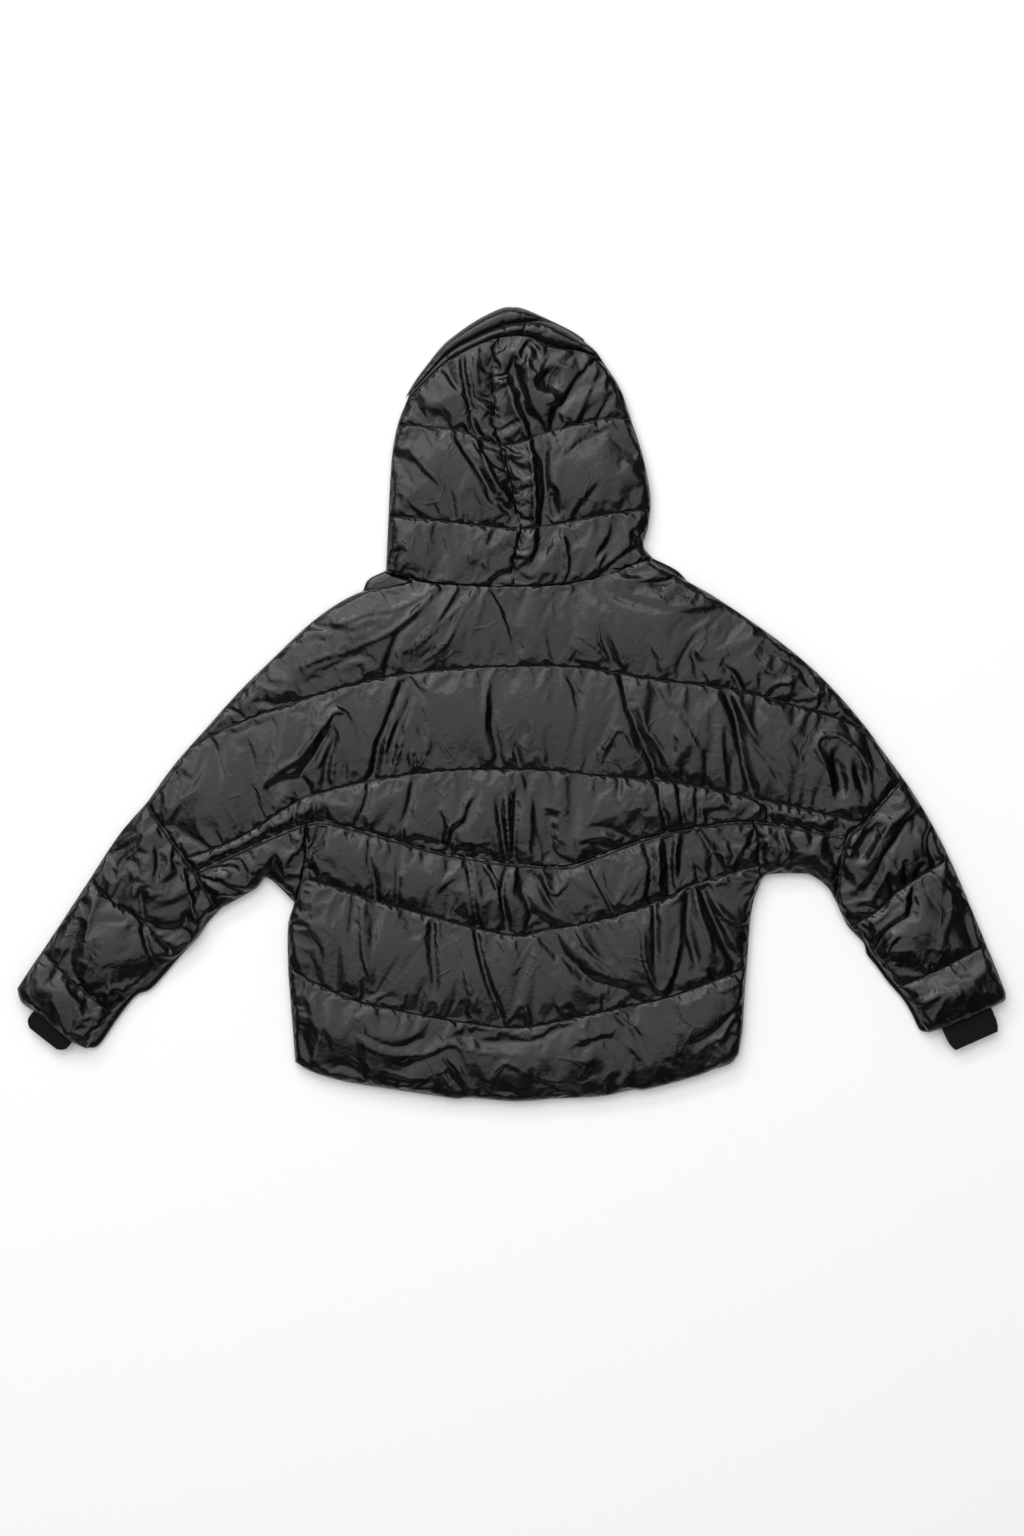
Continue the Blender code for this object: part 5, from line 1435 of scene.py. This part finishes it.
def dress(made: bpy.types.Object, slot: str, *nodes: str) -> None:
    """Hangs a piece on the root, hides the solids of the nodes that it stands for, and logs its triangles."""
    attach(made, ROOT)
    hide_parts(*nodes)
    log.info("%s: %d triangles", made.name, sum(len(face.vertices) - 2 for face in made.data.polygons))


def close_up(node: str, top: np.ndarray, top_faces: Faces, ring: Sequence[int], low: np.ndarray,
             low_faces: Faces, seam: np.ndarray, finish: bpy.types.Material) -> bpy.types.Object:
    """Closes a panel round its wadding, with a wall from the upper surface's border to the lower one's.

    Args:
        node: The node that the panel stands for.
        top: The upper surface's points.
        top_faces: Its faces.
        ring: The numbers of its border's points, in order.
        low: The lower surface's points: first its border, in the same order.
        low_faces: Its faces, as seen from above.
        seam: How far along stitching each upper point is and how far from it, in metres.
        finish: The panel's material.

    Returns:
        The piece.
    """
    shift, count = len(top), len(ring)
    every = list(top_faces) + [tuple(shift + i for i in reversed(face)) for face in low_faces]
    every += [(ring[i], shift + i, shift + (i + 1) % count, ring[(i + 1) % count]) for i in range(count)]
    made = new_mesh_object("padded_" + node, np.vstack([top, low]), every, finish)
    give_uv(made, "stitching", np.vstack([seam, np.full((len(low), 2), UNSEWN)]))
    return made


class Under(Enum):
    """What is under a padded panel."""

    PLAIN = "a plain inside over the lower layer"
    FOLDED = "the same cloth, folded under and lying on the surface"


@dataclass
class PaddedPanel:
    """One padded panel: a sheet puffed between its stitched lines, closed round its wadding."""

    node: str
    outline: Line
    creases: Sequence[Crease]
    quilting: Sequence[Rows] = ()
    twins: Sequence[Line] = ()
    loft: float = BACK_LOFT
    reach: float = PUFF_REACH
    mouth: Line | None = None
    under: Under = Under.PLAIN
    base: float = LAYER
    fill: float = PANEL_FILL
    step: float = CLOTH_STEP
    rings: tuple[float, ...] = (NEAR_RING, FAR_RING)
    points: Line = field(default=None, repr=False)
    faces: np.ndarray = field(default=None, repr=False)
    top: np.ndarray = field(default=None, repr=False)
    seam: np.ndarray = field(default=None, repr=False)
    held: np.ndarray = field(default=None, repr=False)
    slack: np.ndarray = field(default=None, repr=False)
    cloth: bpy.types.Object = field(default=None, repr=False)

    # Room over a cuff, as in the solids
    cuff_room: float = 4.7
    cuff_room_depth: float = 36.0
    cuff_room_ramp: float = 18.0

    def inside(self, points: Line) -> np.ndarray:
        """The height of the panel's inside: level, but for the room over a cuff."""
        if self.mouth is None:
            return np.full(len(points), self.base)
        off = distance_to(points, self.mouth)
        ramp = ease((self.cuff_room_depth + self.cuff_room_ramp - off) / self.cuff_room_ramp)
        return self.base + self.cuff_room * ramp

    def lay_out(self) -> None:
        """Cuts the sheet and gives it its first heights."""
        self.outline = inset(self.outline, SEAM_GAP / 2)
        room = inset(self.outline, LINE_END)
        lines = [fine[within(fine, room)] for fine in map(smooth, self.quilting)]
        twins = [fine[within(fine, room)] for fine in self.twins]
        lines += [line for line in twins if len(line) > 2]
        self.points, faces = triangulate(self.outline, lines, self.step, self.rings)
        self.faces = np.array(faces)
        border = nearest_on(self.points, self.outline, closed=True)
        sewn = [nearest_on(self.points, line) for line in lines]
        distances = np.array([border.distance] + [place.distance for place in sewn])
        nearest = distances.min(axis=0)
        outer = outer_distance(self.points)
        self.held = nearest < HELD_WITHIN
        if sewn:
            rows = np.array([(place.along, place.distance) for place in sewn])
            which = rows[:, 1].argmin(axis=0)
            self.seam = rows[which, :, np.arange(len(which))] * MM
        else:
            self.seam = np.full((len(self.points), 2), UNSEWN)
        loose = HELD_LEAST + (1 - HELD_LEAST) * (1 - np.exp(-nearest / HELD_REACH))
        rolled = roll_over(outer)
        rise = puff(nearest, self.loft, self.reach)
        form = loose * (creases_at(self.points, self.creases, [self.outline] + lines)
                        + gathers_at(self.points))
        rough = sum(depth * dents_at(self.points, size, seed) for depth, size, seed in DENTS)
        form += loose * rough * np.minimum(nearest / DENT_REACH, 1)
        for place in sewn[len(self.quilting):]:
            form += TWIN_LIFT * np.exp(-(place.distance / TWIN_SPREAD) ** 2)
        self.slack = self.slack_at(nearest)
        heights = STITCHED * rolled + np.minimum(rolled + EDGE_PUFF, 1) * np.maximum(rise + form, 0.0)
        heights += pillow(outer, SWELL, SWELL_REACH)
        self.top = np.column_stack([self.points, self.inside(self.points) + heights])

    def slack_at(self, nearest: np.ndarray) -> np.ndarray:
        """The share by which the cloth is longer than the panel.

        Args:
            nearest: How far each point is from a stitched line.

        Returns:
            The share at each point.
        """
        slack = CALM_SLACK + SEAM_SLACK * np.exp(-nearest / SEAM_SLACK_REACH)
        for zone in SLACK_ZONES:
            middle = np.array([zone.x, zone.y]) * SQUARE
            off = np.linalg.norm(self.points - middle, axis=1) / (zone.radius * SQUARE)
            slack += zone.slack * np.exp(-off ** 2)
        return np.minimum(slack, FULL_SLACK)

    def hang_up(self) -> bpy.types.Object:
        """Makes the sheet an object that the simulation can hold at its stitching.

        Returns:
            The sheet.
        """
        sheet = new_mesh_object(self.node + "_cloth", self.top, self.faces.tolist(), None)
        group = sheet.vertex_groups.new(name="held")
        group.add(np.nonzero(self.held)[0].tolist(), 1.0, "REPLACE")
        group = sheet.vertex_groups.new(name="calm")
        calm = (FULL_SLACK - self.slack) / (FULL_SLACK - CALM_SLACK)
        for number, weight in enumerate(calm.tolist()):
            group.add([number], weight, "REPLACE")
        self.cloth = sheet
        return sheet

    def take_settled(self, most: float) -> None:
        """Takes the heights from the settled sheet, and removes it.

        Args:
            most: How far a point may have moved, in millimetres.
        """
        shape = self.cloth.evaluated_get(bpy.context.evaluated_depsgraph_get()).data
        settled = np.empty(len(shape.vertices) * 3, np.float32)
        shape.vertices.foreach_get("co", settled)
        moved = settled.reshape(-1, 3) / MM + (*MIDDLE, 0.0) - self.top
        log.info("%s settled: %.1f mm at most, %.2f mm on average", self.node,
                 np.abs(moved[:, 2]).max(), np.abs(moved[:, 2]).mean())
        far = np.linalg.norm(moved, axis=1, keepdims=True)
        moved *= np.minimum(1.0, most / np.maximum(far, TINY))
        clear = distance_to(self.points, self.outline, closed=True)
        aside = np.linalg.norm(moved[:, :2], axis=1)
        moved[:, :2] *= np.minimum(1.0, ASIDE_SHARE * clear / np.maximum(aside, TINY))[:, None]
        self.top = self.top + moved
        self.top[:, 2] = np.maximum(self.top[:, 2], self.inside(self.points) + LEAST_COVER)
        bpy.data.objects.remove(self.cloth)

    def close(self, finish: bpy.types.Material) -> bpy.types.Object:
        """Makes the finished piece: the sheet refined, closed by its sides and its underside.

        Args:
            finish: Its material.

        Returns:
            The piece.
        """
        top, seam, faces = refine(self.top, self.seam, self.faces)
        ring = border_ring(len(top), faces)
        outline = top[ring, :2]
        low_points, low_faces = triangulate(outline, [], PLAIN_STEP, (EDGE_ROUND,))
        if self.under is Under.FOLDED:
            low = rounding(distance_to(low_points, outline, closed=True), UNDER_ROUND)
        else:
            low = self.inside(low_points)
        made = close_up(self.node, top, faces.tolist(), ring.tolist(), np.column_stack([low_points, low]),
                        low_faces, seam, finish)
        shade(made, PADDED_ANGLE)
        dress(made, "faux_leather", self.node)
        return made


@dataclass(frozen=True)
class Settling:
    """The cloth simulation, which lets all the sheets settle at once."""

    frames: int = 26
    push: float = 3.0  # the wadding's pressure
    bend: float = 0.02
    tension: float = 15.0
    damping: float = 5.0
    mass: float = 0.02
    air: float = 2.0
    quality: int = 5
    most_moved: float = 6.0

    def hang(self, panel: PaddedPanel) -> None:
        """Makes a panel's sheet a cloth."""
        cloth = panel.hang_up().modifiers.new("settle", "CLOTH")
        for name, value in {
                "quality": self.quality, "mass": self.mass, "air_damping": self.air,
                "tension_stiffness": self.tension, "compression_stiffness": self.tension,
                "shear_stiffness": self.tension / 2, "bending_stiffness": self.bend,
                "tension_damping": self.damping, "compression_damping": self.damping,
                "vertex_group_mass": "held", "vertex_group_shrink": "calm", "shrink_min": -FULL_SLACK,
                "shrink_max": -CALM_SLACK, "use_pressure": True, "uniform_pressure_force": self.push}.items():
            setattr(cloth.settings, name, value)
        cloth.settings.effector_weights.gravity = 0.0
        cloth.collision_settings.use_collision = False
        cloth.collision_settings.use_self_collision = False
        cloth.point_cache.frame_start, cloth.point_cache.frame_end = 1, self.frames

    def run(self, panels: Sequence[PaddedPanel]) -> None:
        """Settles the panels' sheets.

        Args:
            panels: The panels, laid out.
        """
        for panel in panels:
            self.hang(panel)
        for number in range(1, self.frames + 1):
            bpy.context.scene.frame_set(number)
        for panel in panels:
            panel.take_settled(self.most_moved)
        bpy.context.scene.frame_set(1)


@dataclass
class LowerPanel:
    """One panel of the lower layer: flat where it rests, rounded at its edge, plain on top."""

    node: str
    outline: Line
    finish: bpy.types.Material
    step: float = 24.0
    rings: tuple[float, ...] = (1.2, 2.8, EDGE_ROUND)
    edge_drop: float = 3.6  # how far the top comes down to its edge
    fill: float = LOWER_FILL

    def build(self) -> bpy.types.Object:
        """Makes the piece."""
        outline = inset(self.outline, SEAM_GAP / 2)
        points, faces = triangulate(outline, [], self.step, self.rings)
        edge = distance_to(points, outline, closed=True)
        upper = FRONT_WALL - self.edge_drop * np.clip(1 - edge / EDGE_ROUND, 0, 1) ** 2
        lower = rounding(edge, UNDER_ROUND)
        made = close_up(self.node, np.column_stack([points, upper]), faces, range(len(outline)),
                        np.column_stack([points, lower]), faces, np.full((len(points), 2), UNSEWN),
                        self.finish)
        shade(made, LOWER_ANGLE)
        dress(made, "faux_leather", self.node)
        return made


# ---------------------------------------------------------------------------------------------------
# Cuffs and zip


@dataclass(frozen=True)
class KnitCuff:
    """A flattened tube of rib knit, from inside the sleeve's mouth to its rounded end."""

    size: CuffSize
    inside: float = 26.0
    thick: float = 4.4
    slit: float = 0.6
    rib_pitch: float = 3.35
    rib_depth: float = 0.55
    rib_points: int = 6
    end_points: int = 8
    stations: int = 20
    narrows_from: float = 0.2  # share of its visible length from which it narrows
    round_over: float = 2.2
    round_share: float = 0.82

    def section(self, width: float, thick: float, depth: float) -> np.ndarray:
        """The tube's section as a closed ring, across and up, with ribs along each face."""
        ribs = round(self.size.width / self.rib_pitch)
        share = np.linspace(0, 1, ribs * self.rib_points, endpoint=False)
        across = (share - 0.5) * (width - thick)
        up = thick / 2 - depth * (0.5 + 0.5 * np.cos(2 * math.pi * share * ribs))
        turn = np.linspace(math.pi / 2, -math.pi / 2, self.end_points, endpoint=False)
        end = np.column_stack([(width - thick) / 2 + thick / 2 * np.cos(turn), thick / 2 * np.sin(turn)])
        half = np.vstack([np.column_stack([across, up]), end])
        return np.vstack([half, -half])

    def build(self, finish: bpy.types.Material) -> bpy.types.Object:
        """Makes the piece.

        Args:
            finish: Its material.

        Returns:
            The piece.
        """
        size = self.size
        angle = math.radians(size.degrees)
        out = np.array([math.cos(angle), math.sin(angle)])
        across = np.array([out[1], -out[0]])
        middle = LAYER + self.thick / 2
        reach = -self.inside + (self.inside + size.out) * np.linspace(0, 1, self.stations)
        past = np.clip((reach - self.narrows_from * size.out) / ((1 - self.narrows_from) * size.out), 0, 1)
        shares = 1 - (1 - size.end) * past ** 3
        rounded = np.clip((reach - size.out + self.round_over) / self.round_over, 0, 1)
        plump = np.sqrt(np.clip(1 - (rounded * self.round_share) ** 2, 0, 1))
        rings, marks = [], []
        for thick, depth in ((self.thick, self.rib_depth), (self.slit, 0.0)):
            for along, share, full in zip(reach, shares, plump):
                tall = thick * (full if depth else 1.0)
                ring = self.section((size.width - self.thick + thick) * share, tall, depth)
                centre = np.array([size.x, size.y]) + out * along
                rings.append(np.column_stack([centre + ring[:, :1] * across, middle + ring[:, 1]]))
                marks.append(np.column_stack([lengths_along(ring), np.full(len(ring), along)]) * MM)
        count, each = self.stations, len(rings[0])
        order = [each * place for place in (*range(count), *range(2 * count - 1, count - 1, -1))]
        faces = [(here + i, here + (i + 1) % each, after + (i + 1) % each, after + i)
                 for here, after in zip(order, order[1:] + order[:1]) for i in range(each)]
        made = new_mesh_object("knitted_" + size.node, np.vstack(rings), faces, finish)
        give_uv(made, "knit", np.vstack(marks))
        shade(made)
        dress(made, "rib_knit", size.node)
        return made


@dataclass(frozen=True)
class ClosedZip:
    """A closed zip between the two fronts: one woven tape and its two rows of moulded teeth."""

    tape_low: float = 4.1
    tape_thick: float = 0.8
    tape_clear: float = 0.4  # what the tape's width leaves free of its solid's
    cells: tuple[int, int] = (14, 120)
    rib_height: float = 0.35
    rib_off: float = 3.4
    rib_width: float = 0.9
    pitch: float = 2.5
    tooth: tuple[float, float, float] = (3.6, 1.15, 2.4)
    tooth_off: float = 0.9
    tooth_bevel: float = 0.25
    first_tooth: float = 1.5  # how many pitches from the end the first one is
    left_out: int = 2  # how many teeth a row is short of the zip's length

    def stretch(self, size: Sequence[float], x: float, y: float, bevel: float = 0.0) -> None:
        """Stretches the mesh of the object in hand and moves it to a place at the zip's height."""
        bpy.ops.object.mode_set(mode="EDIT")
        bpy.ops.mesh.select_all(action="SELECT")
        bpy.ops.transform.resize(value=size)
        if bevel:
            bpy.ops.mesh.bevel(offset=bevel, segments=2)
        bpy.ops.transform.translate(value=(x, y, (self.tape_low + self.tape_thick / 2) * MM))
        bpy.ops.object.mode_set(mode="OBJECT")

    def build_tape(self, finish: bpy.types.Material) -> bpy.types.Object:
        """Makes the tape: a grid, pressed to a soft rib on each side of the teeth."""
        low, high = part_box("zip")
        width, length = high.x - low.x, high.y - low.y
        middle = (low.x + high.x) / 2
        bpy.ops.object.select_all(action="DESELECT")
        bpy.ops.mesh.primitive_grid_add(x_subdivisions=self.cells[0], y_subdivisions=self.cells[1], size=1.0)
        made = bpy.context.object
        made.name = made.data.name = "zip_tape"
        self.stretch((width - self.tape_clear * MM, length, 1.0), middle, (low.y + high.y) / 2)
        for point in made.data.vertices:
            off = abs(point.co.x - middle) / MM
            point.co.z += self.rib_height * MM * math.exp(-((off - self.rib_off) / self.rib_width) ** 2)
        wall = made.modifiers.new("wall", "SOLIDIFY")
        wall.thickness, wall.offset = self.tape_thick * MM, 0.0
        bpy.ops.object.modifier_apply(modifier=wall.name)
        made.data.materials.append(finish)
        shade(made)
        dress(made, "zip_tape", "zip")
        return made

    def build_teeth(self, finish: bpy.types.Material) -> bpy.types.Object:
        """Makes the teeth: one tooth, bevelled, in two rows that mesh."""
        low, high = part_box("zip")
        count = int((high.y - low.y) / (self.pitch * MM)) - self.left_out
        halves = []
        for side in (-1, 1):
            bpy.ops.object.select_all(action="DESELECT")
            bpy.ops.mesh.primitive_cube_add(size=1.0)
            shift = (0.0 if side < 0 else self.pitch / 2) * MM
            self.stretch([size * MM for size in self.tooth],
                         (low.x + high.x) / 2 + side * self.tooth_off * MM,
                         low.y + self.first_tooth * self.pitch * MM + shift, self.tooth_bevel * MM)
            row = bpy.context.object.modifiers.new("row", "ARRAY")
            row.count = count
            row.use_relative_offset, row.use_constant_offset = False, True
            row.constant_offset_displace = (0.0, self.pitch * MM, 0.0)
            bpy.ops.object.modifier_apply(modifier=row.name)
            halves.append(bpy.context.object)
        for half in halves:
            half.select_set(True)
        bpy.context.view_layer.objects.active = halves[0]
        bpy.ops.object.join()
        made = bpy.context.object
        made.name = made.data.name = "zip_teeth"
        made.data.materials.append(finish)
        shade(made, TOOTH_ANGLE)
        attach(made, ROOT)
        log.info("%s: %d pieces", made.name, 2 * count)
        return made


# ---------------------------------------------------------------------------------------------------
# The jacket


def split(line: Line, y: float) -> tuple[Line, Line]:
    """The two parts of a line above and below a height, each clear of it."""
    return line[line[:, 1] > y + CORNER_CLEAR], line[line[:, 1] < y - CORNER_CLEAR]


def meet(line: Line, x: float, other: Line) -> Line:
    """The line with its first point moved onto another line, at x."""
    return np.vstack([(x, height_on(other, x)), line[1:]])


@dataclass
class Jacket:
    """The whole jacket: its finishes, its panels and its fittings."""

    leather: bpy.types.Material
    knit: bpy.types.Material
    tape: bpy.types.Material
    plastic: bpy.types.Material
    panels: list[PaddedPanel] = field(default_factory=list)
    strips: list[PaddedPanel] = field(default_factory=list)
    lowers: list[LowerPanel] = field(default_factory=list)

    def cut_back(self) -> tuple[Line, Line]:
        """Cuts the upper layer of the body and the sleeves.

        Returns:
            The two elbow seams.
        """
        twin, neck = smooth(TWIN_SEAM), smooth(NECK_SEAM)
        seam_left = meet(smooth(SIDE_SEAM_LEFT), SIDE_SEAM_LEFT[0][0], twin)
        seam_right = meet(smooth(SIDE_SEAM_RIGHT), SIDE_SEAM_RIGHT[0][0], twin)
        over_left, under_left = split(smooth(ELBOW_LEFT), twin[0, 1])
        over_right, under_right = split(smooth(ELBOW_RIGHT), twin[-1, 1])
        shoulder_left, shoulder_right = smooth(SHOULDER_LEFT), smooth(SHOULDER_RIGHT)
        back_neck = between(neck, shoulder_left[-1, 0] + CORNER_CLEAR, neck[-1, 0])
        upper = loop(twin, over_right[::-1], shoulder_right[::-1], back_neck[::-1], shoulder_left[::-1],
                     over_left)
        lower = loop(between(twin, seam_left[0, 0], seam_right[0, 0]), seam_right, smooth(SIDE_RIGHT),
                     smooth(HEM)[::-1], smooth(SIDE_LEFT)[::-1], seam_left[::-1])
        arm_left = loop(between(twin, twin[0, 0], seam_left[0, 0]), seam_left, smooth(UNDERARM_LEFT)[::-1],
                        under_left[::-1])
        arm_right = loop(between(twin, seam_right[0, 0], twin[-1, 0]), under_right,
                         smooth(UNDERARM_RIGHT)[::-1], seam_right[::-1])
        elbow_left = np.vstack([over_left, twin[:1], under_left])
        elbow_right = np.vstack([over_right, twin[-1:], under_right])
        second_row = beside(twin, -TWIN_APART)
        self.panels += [
            PaddedPanel("back_upper", upper, BACK_CREASES + UNDERARM_CREASES, (QUILT_1, QUILT_2)),
            PaddedPanel("back_lower", lower, LOWER_CREASES, (QUILT_3, QUILT_4), (second_row,)),
            PaddedPanel("underarm_left", arm_left, UNDERARM_CREASES, (), (second_row,), UNDERARM_LOFT),
            PaddedPanel("underarm_right", arm_right, UNDERARM_CREASES, (), (second_row,), SLEEVE_LOFT),
        ]
        for sleeve, elbow, apart in ((SLEEVE_LEFT, elbow_left, -TWIN_APART),
                                     (SLEEVE_RIGHT, elbow_right, TWIN_APART)):
            mouth = smooth(sleeve.mouth)
            back, front = (loop(elbow, smooth(inner), mouth[::-1], smooth(sleeve.outer)[::-1])
                           for inner in (sleeve.inner, sleeve.under))
            self.panels.append(PaddedPanel(f"sleeve_{sleeve.side}_back", back, SLEEVE_CREASES,
                                           sleeve.quilting, (beside(elbow, apart),), loft=SLEEVE_LOFT,
                                           mouth=mouth))
            self.lowers.append(LowerPanel(f"sleeve_{sleeve.side}_front", front, self.leather))
        return elbow_left, elbow_right

    def cut_hood(self) -> None:
        """Cuts the hood's two sides, its crown and band, and the stand under it."""
        neck, fold, centre = smooth(NECK_SEAM), smooth(HOOD_FOLD), smooth(CENTRE_SEAM)
        crown_x, neck_x = centre[0, 0], centre[-1, 0]
        centre = meet(meet(centre, crown_x, fold)[::-1], neck_x, neck)[::-1]
        edge_left, edge_right = smooth(HOOD_SIDE_LEFT), smooth(HOOD_SIDE_RIGHT)
        left = loop(between(neck, neck[0, 0], neck_x), centre[::-1],
                    between(fold, fold[0, 0], crown_x)[::-1], edge_left[::-1])
        right = loop(between(neck, neck_x, neck[-1, 0]), edge_right,
                     between(fold, crown_x, fold[-1, 0])[::-1], centre)
        for side, outline, quilting in (("left", left, (HOOD_QUILT_1_LEFT, HOOD_QUILT_2_LEFT)),
                                        ("right", right, (HOOD_QUILT_1_RIGHT, HOOD_QUILT_2_RIGHT))):
            self.panels.append(PaddedPanel(f"hood_{side}", outline, HOOD_CREASES, quilting, loft=HOOD_LOFT,
                                           reach=HOOD_REACH, under=Under.FOLDED))
        band_seam, rim = smooth(HOOD_BAND_SEAM), smooth(HOOD_RIM)
        crown = loop(fold, smooth(HOOD_CROWN_END), band_seam[::-1])
        for node, outline, loft in (("hood_crown", crown, CROWN_LOFT),
                                    ("hood_band", loop(band_seam, rim[::-1]), BAND_LOFT)):
            self.strips.append(PaddedPanel(node, outline, CROWN_CREASES, loft=loft, reach=STRIP_REACH,
                                           under=Under.FOLDED, base=FRONT_WALL - STITCHED, step=STRIP_STEP,
                                           rings=STRIP_RINGS))
        stand = loop(smooth(STAND_BASE), smooth(STAND_RIGHT)[::-1], neck[::-1], smooth(STAND_LEFT)[::-1])
        self.lowers.append(LowerPanel("hood_stand", stand, self.leather))

    def cut_fronts(self, elbow_left: Line, elbow_right: Line) -> None:
        """Cuts the two fronts.

        Args:
            elbow_left: The left elbow seam.
            elbow_right: The right one.
        """
        hem, neck = smooth(HEM), smooth(STAND_BASE)
        shoulder_left, shoulder_right = smooth(SHOULDER_LEFT), smooth(SHOULDER_RIGHT)
        shoulder_left = shoulder_left[shoulder_left[:, 0] < neck[0, 0] - STAND_CLEAR]
        shoulder_right = shoulder_right[shoulder_right[:, 0] > neck[-1, 0] + STAND_CLEAR]
        left = loop(between(hem, hem[0, 0], -ZIP_HALF), between(neck, neck[0, 0], -ZIP_HALF)[::-1],
                    shoulder_left[::-1], elbow_left, smooth(UNDERARM_LEFT), smooth(SIDE_LEFT))
        right = loop(between(hem, ZIP_HALF, hem[-1, 0]), smooth(SIDE_RIGHT)[::-1], smooth(UNDERARM_RIGHT),
                     elbow_right[::-1], shoulder_right[::-1], between(neck, ZIP_HALF, neck[-1, 0])[::-1])
        self.lowers += [LowerPanel("front_left", left, self.leather),
                        LowerPanel("front_right", right, self.leather)]

    def build(self) -> None:
        """Cuts every panel, settles the padded ones, and makes every piece."""
        self.cut_fronts(*self.cut_back())
        self.cut_hood()
        for panel in self.panels + self.strips:
            panel.lay_out()
            log.info("%s laid out: %d points", panel.node, len(panel.points))
        Settling().run(self.panels)
        for panel in self.panels + self.strips:
            panel.close(self.leather)
        for lower in self.lowers:
            lower.build()
        for size in CUFFS:
            KnitCuff(size).build(self.knit)
        closed = ClosedZip()
        closed.build_tape(self.tape)
        closed.build_teeth(self.plastic)


# ---------------------------------------------------------------------------------------------------
# Studio


@dataclass(frozen=True)
class SoftBox:
    """A soft light that looks at the jacket's middle: its name, where it is, its width and length, and its
    radiance in watts a square metre and steradian."""

    name: str
    place: tuple[float, float, float]
    size: tuple[float, float]
    radiance: float

    def build(self) -> None:
        """Makes the light, which the camera doesn't see."""
        light = bpy.data.lights.new(self.name, "AREA")
        light.shape = "RECTANGLE"
        light.size, light.size_y = self.size
        light.energy = self.radiance * math.pi * self.size[0] * self.size[1]
        made = bpy.data.objects.new(self.name, light)
        made.location = self.place
        made.rotation_euler = (Vector((0, 0, 0)) - made.location).to_track_quat("-Z", "Y").to_euler()
        made.visible_camera = False
        bpy.context.scene.collection.objects.link(made)


@dataclass(frozen=True)
class Studio:
    """A white floor in a pale room, soft lights overhead and past the hood, and a camera straight above. The
    gloss shows the lights alone, as it does where dark cards stand round a set."""

    camera_x: float = 0.00075
    camera_y: float = -0.0799
    camera_height: float = 3.73
    lens: float = 69.94
    sensor: float = 36.0
    floor_half: float = 6.0
    floor_drop: float = 0.0005
    floor_colour: str = "#fafafa"
    room: float = 0.30
    lights: tuple[SoftBox, ...] = (
        SoftBox("window", (-0.3, 1.0, 5.0), (6.6, 6.9), 1.24),
        SoftBox("bright", (-0.8, 3.6, 4.9), (5.5, 2.4), 1.65),
        SoftBox("key", (-2.2, 5.0, 3.4), (5.0, 1.0), 8.2),
        SoftBox("side", (-3.6, 1.2, 4.0), (1.2, 4.0), 1.8),
        SoftBox("low", (0.5, -5.5, 1.9), (9.0, 1.6), 0.45),
    )

    def build_floor(self) -> None:
        """Makes the floor."""
        made, tree, shader = new_material("painted_white_floor")
        set_inputs(tree, shader, {"Base Color": linear(self.floor_colour), "Roughness": 0.9,
                                  "Specular IOR Level": 0.1})
        bpy.ops.object.select_all(action="DESELECT")
        bpy.ops.mesh.primitive_plane_add(size=2 * self.floor_half, location=(0.0, 0.0, -self.floor_drop))
        floor = bpy.context.object
        floor.name = "floor"
        floor.data.materials.append(made)

    def build(self) -> None:
        """Makes the floor, the lights and the camera."""
        self.build_floor()
        for light in self.lights:
            light.build()
        world = bpy.data.worlds.new("studio")
        world.use_nodes = True
        back = world.node_tree.nodes["Background"]
        back.inputs["Color"].default_value = (1.0, 1.0, 1.0, 1.0)
        back.inputs["Strength"].default_value = self.room
        world.cycles_visibility.glossy = False
        bpy.context.scene.world = world
        data = bpy.data.cameras.new("camera")
        data.lens = self.lens
        data.sensor_width = self.sensor
        camera = bpy.data.objects.new("camera", data)
        camera.location = (self.camera_x, self.camera_y, self.camera_height)
        bpy.context.scene.collection.objects.link(camera)
        bpy.context.scene.camera = camera
        bpy.context.scene.view_settings.view_transform = "Standard"


def main() -> None:
    """Builds the studio and the jacket."""
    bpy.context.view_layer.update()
    Studio().build()
    Jacket(leather=FauxLeather().build(), knit=RibKnit().build(), tape=ZipTape().build(),
           plastic=ZipPlastic().build()).build()


if __name__ == "__main__":
    main()
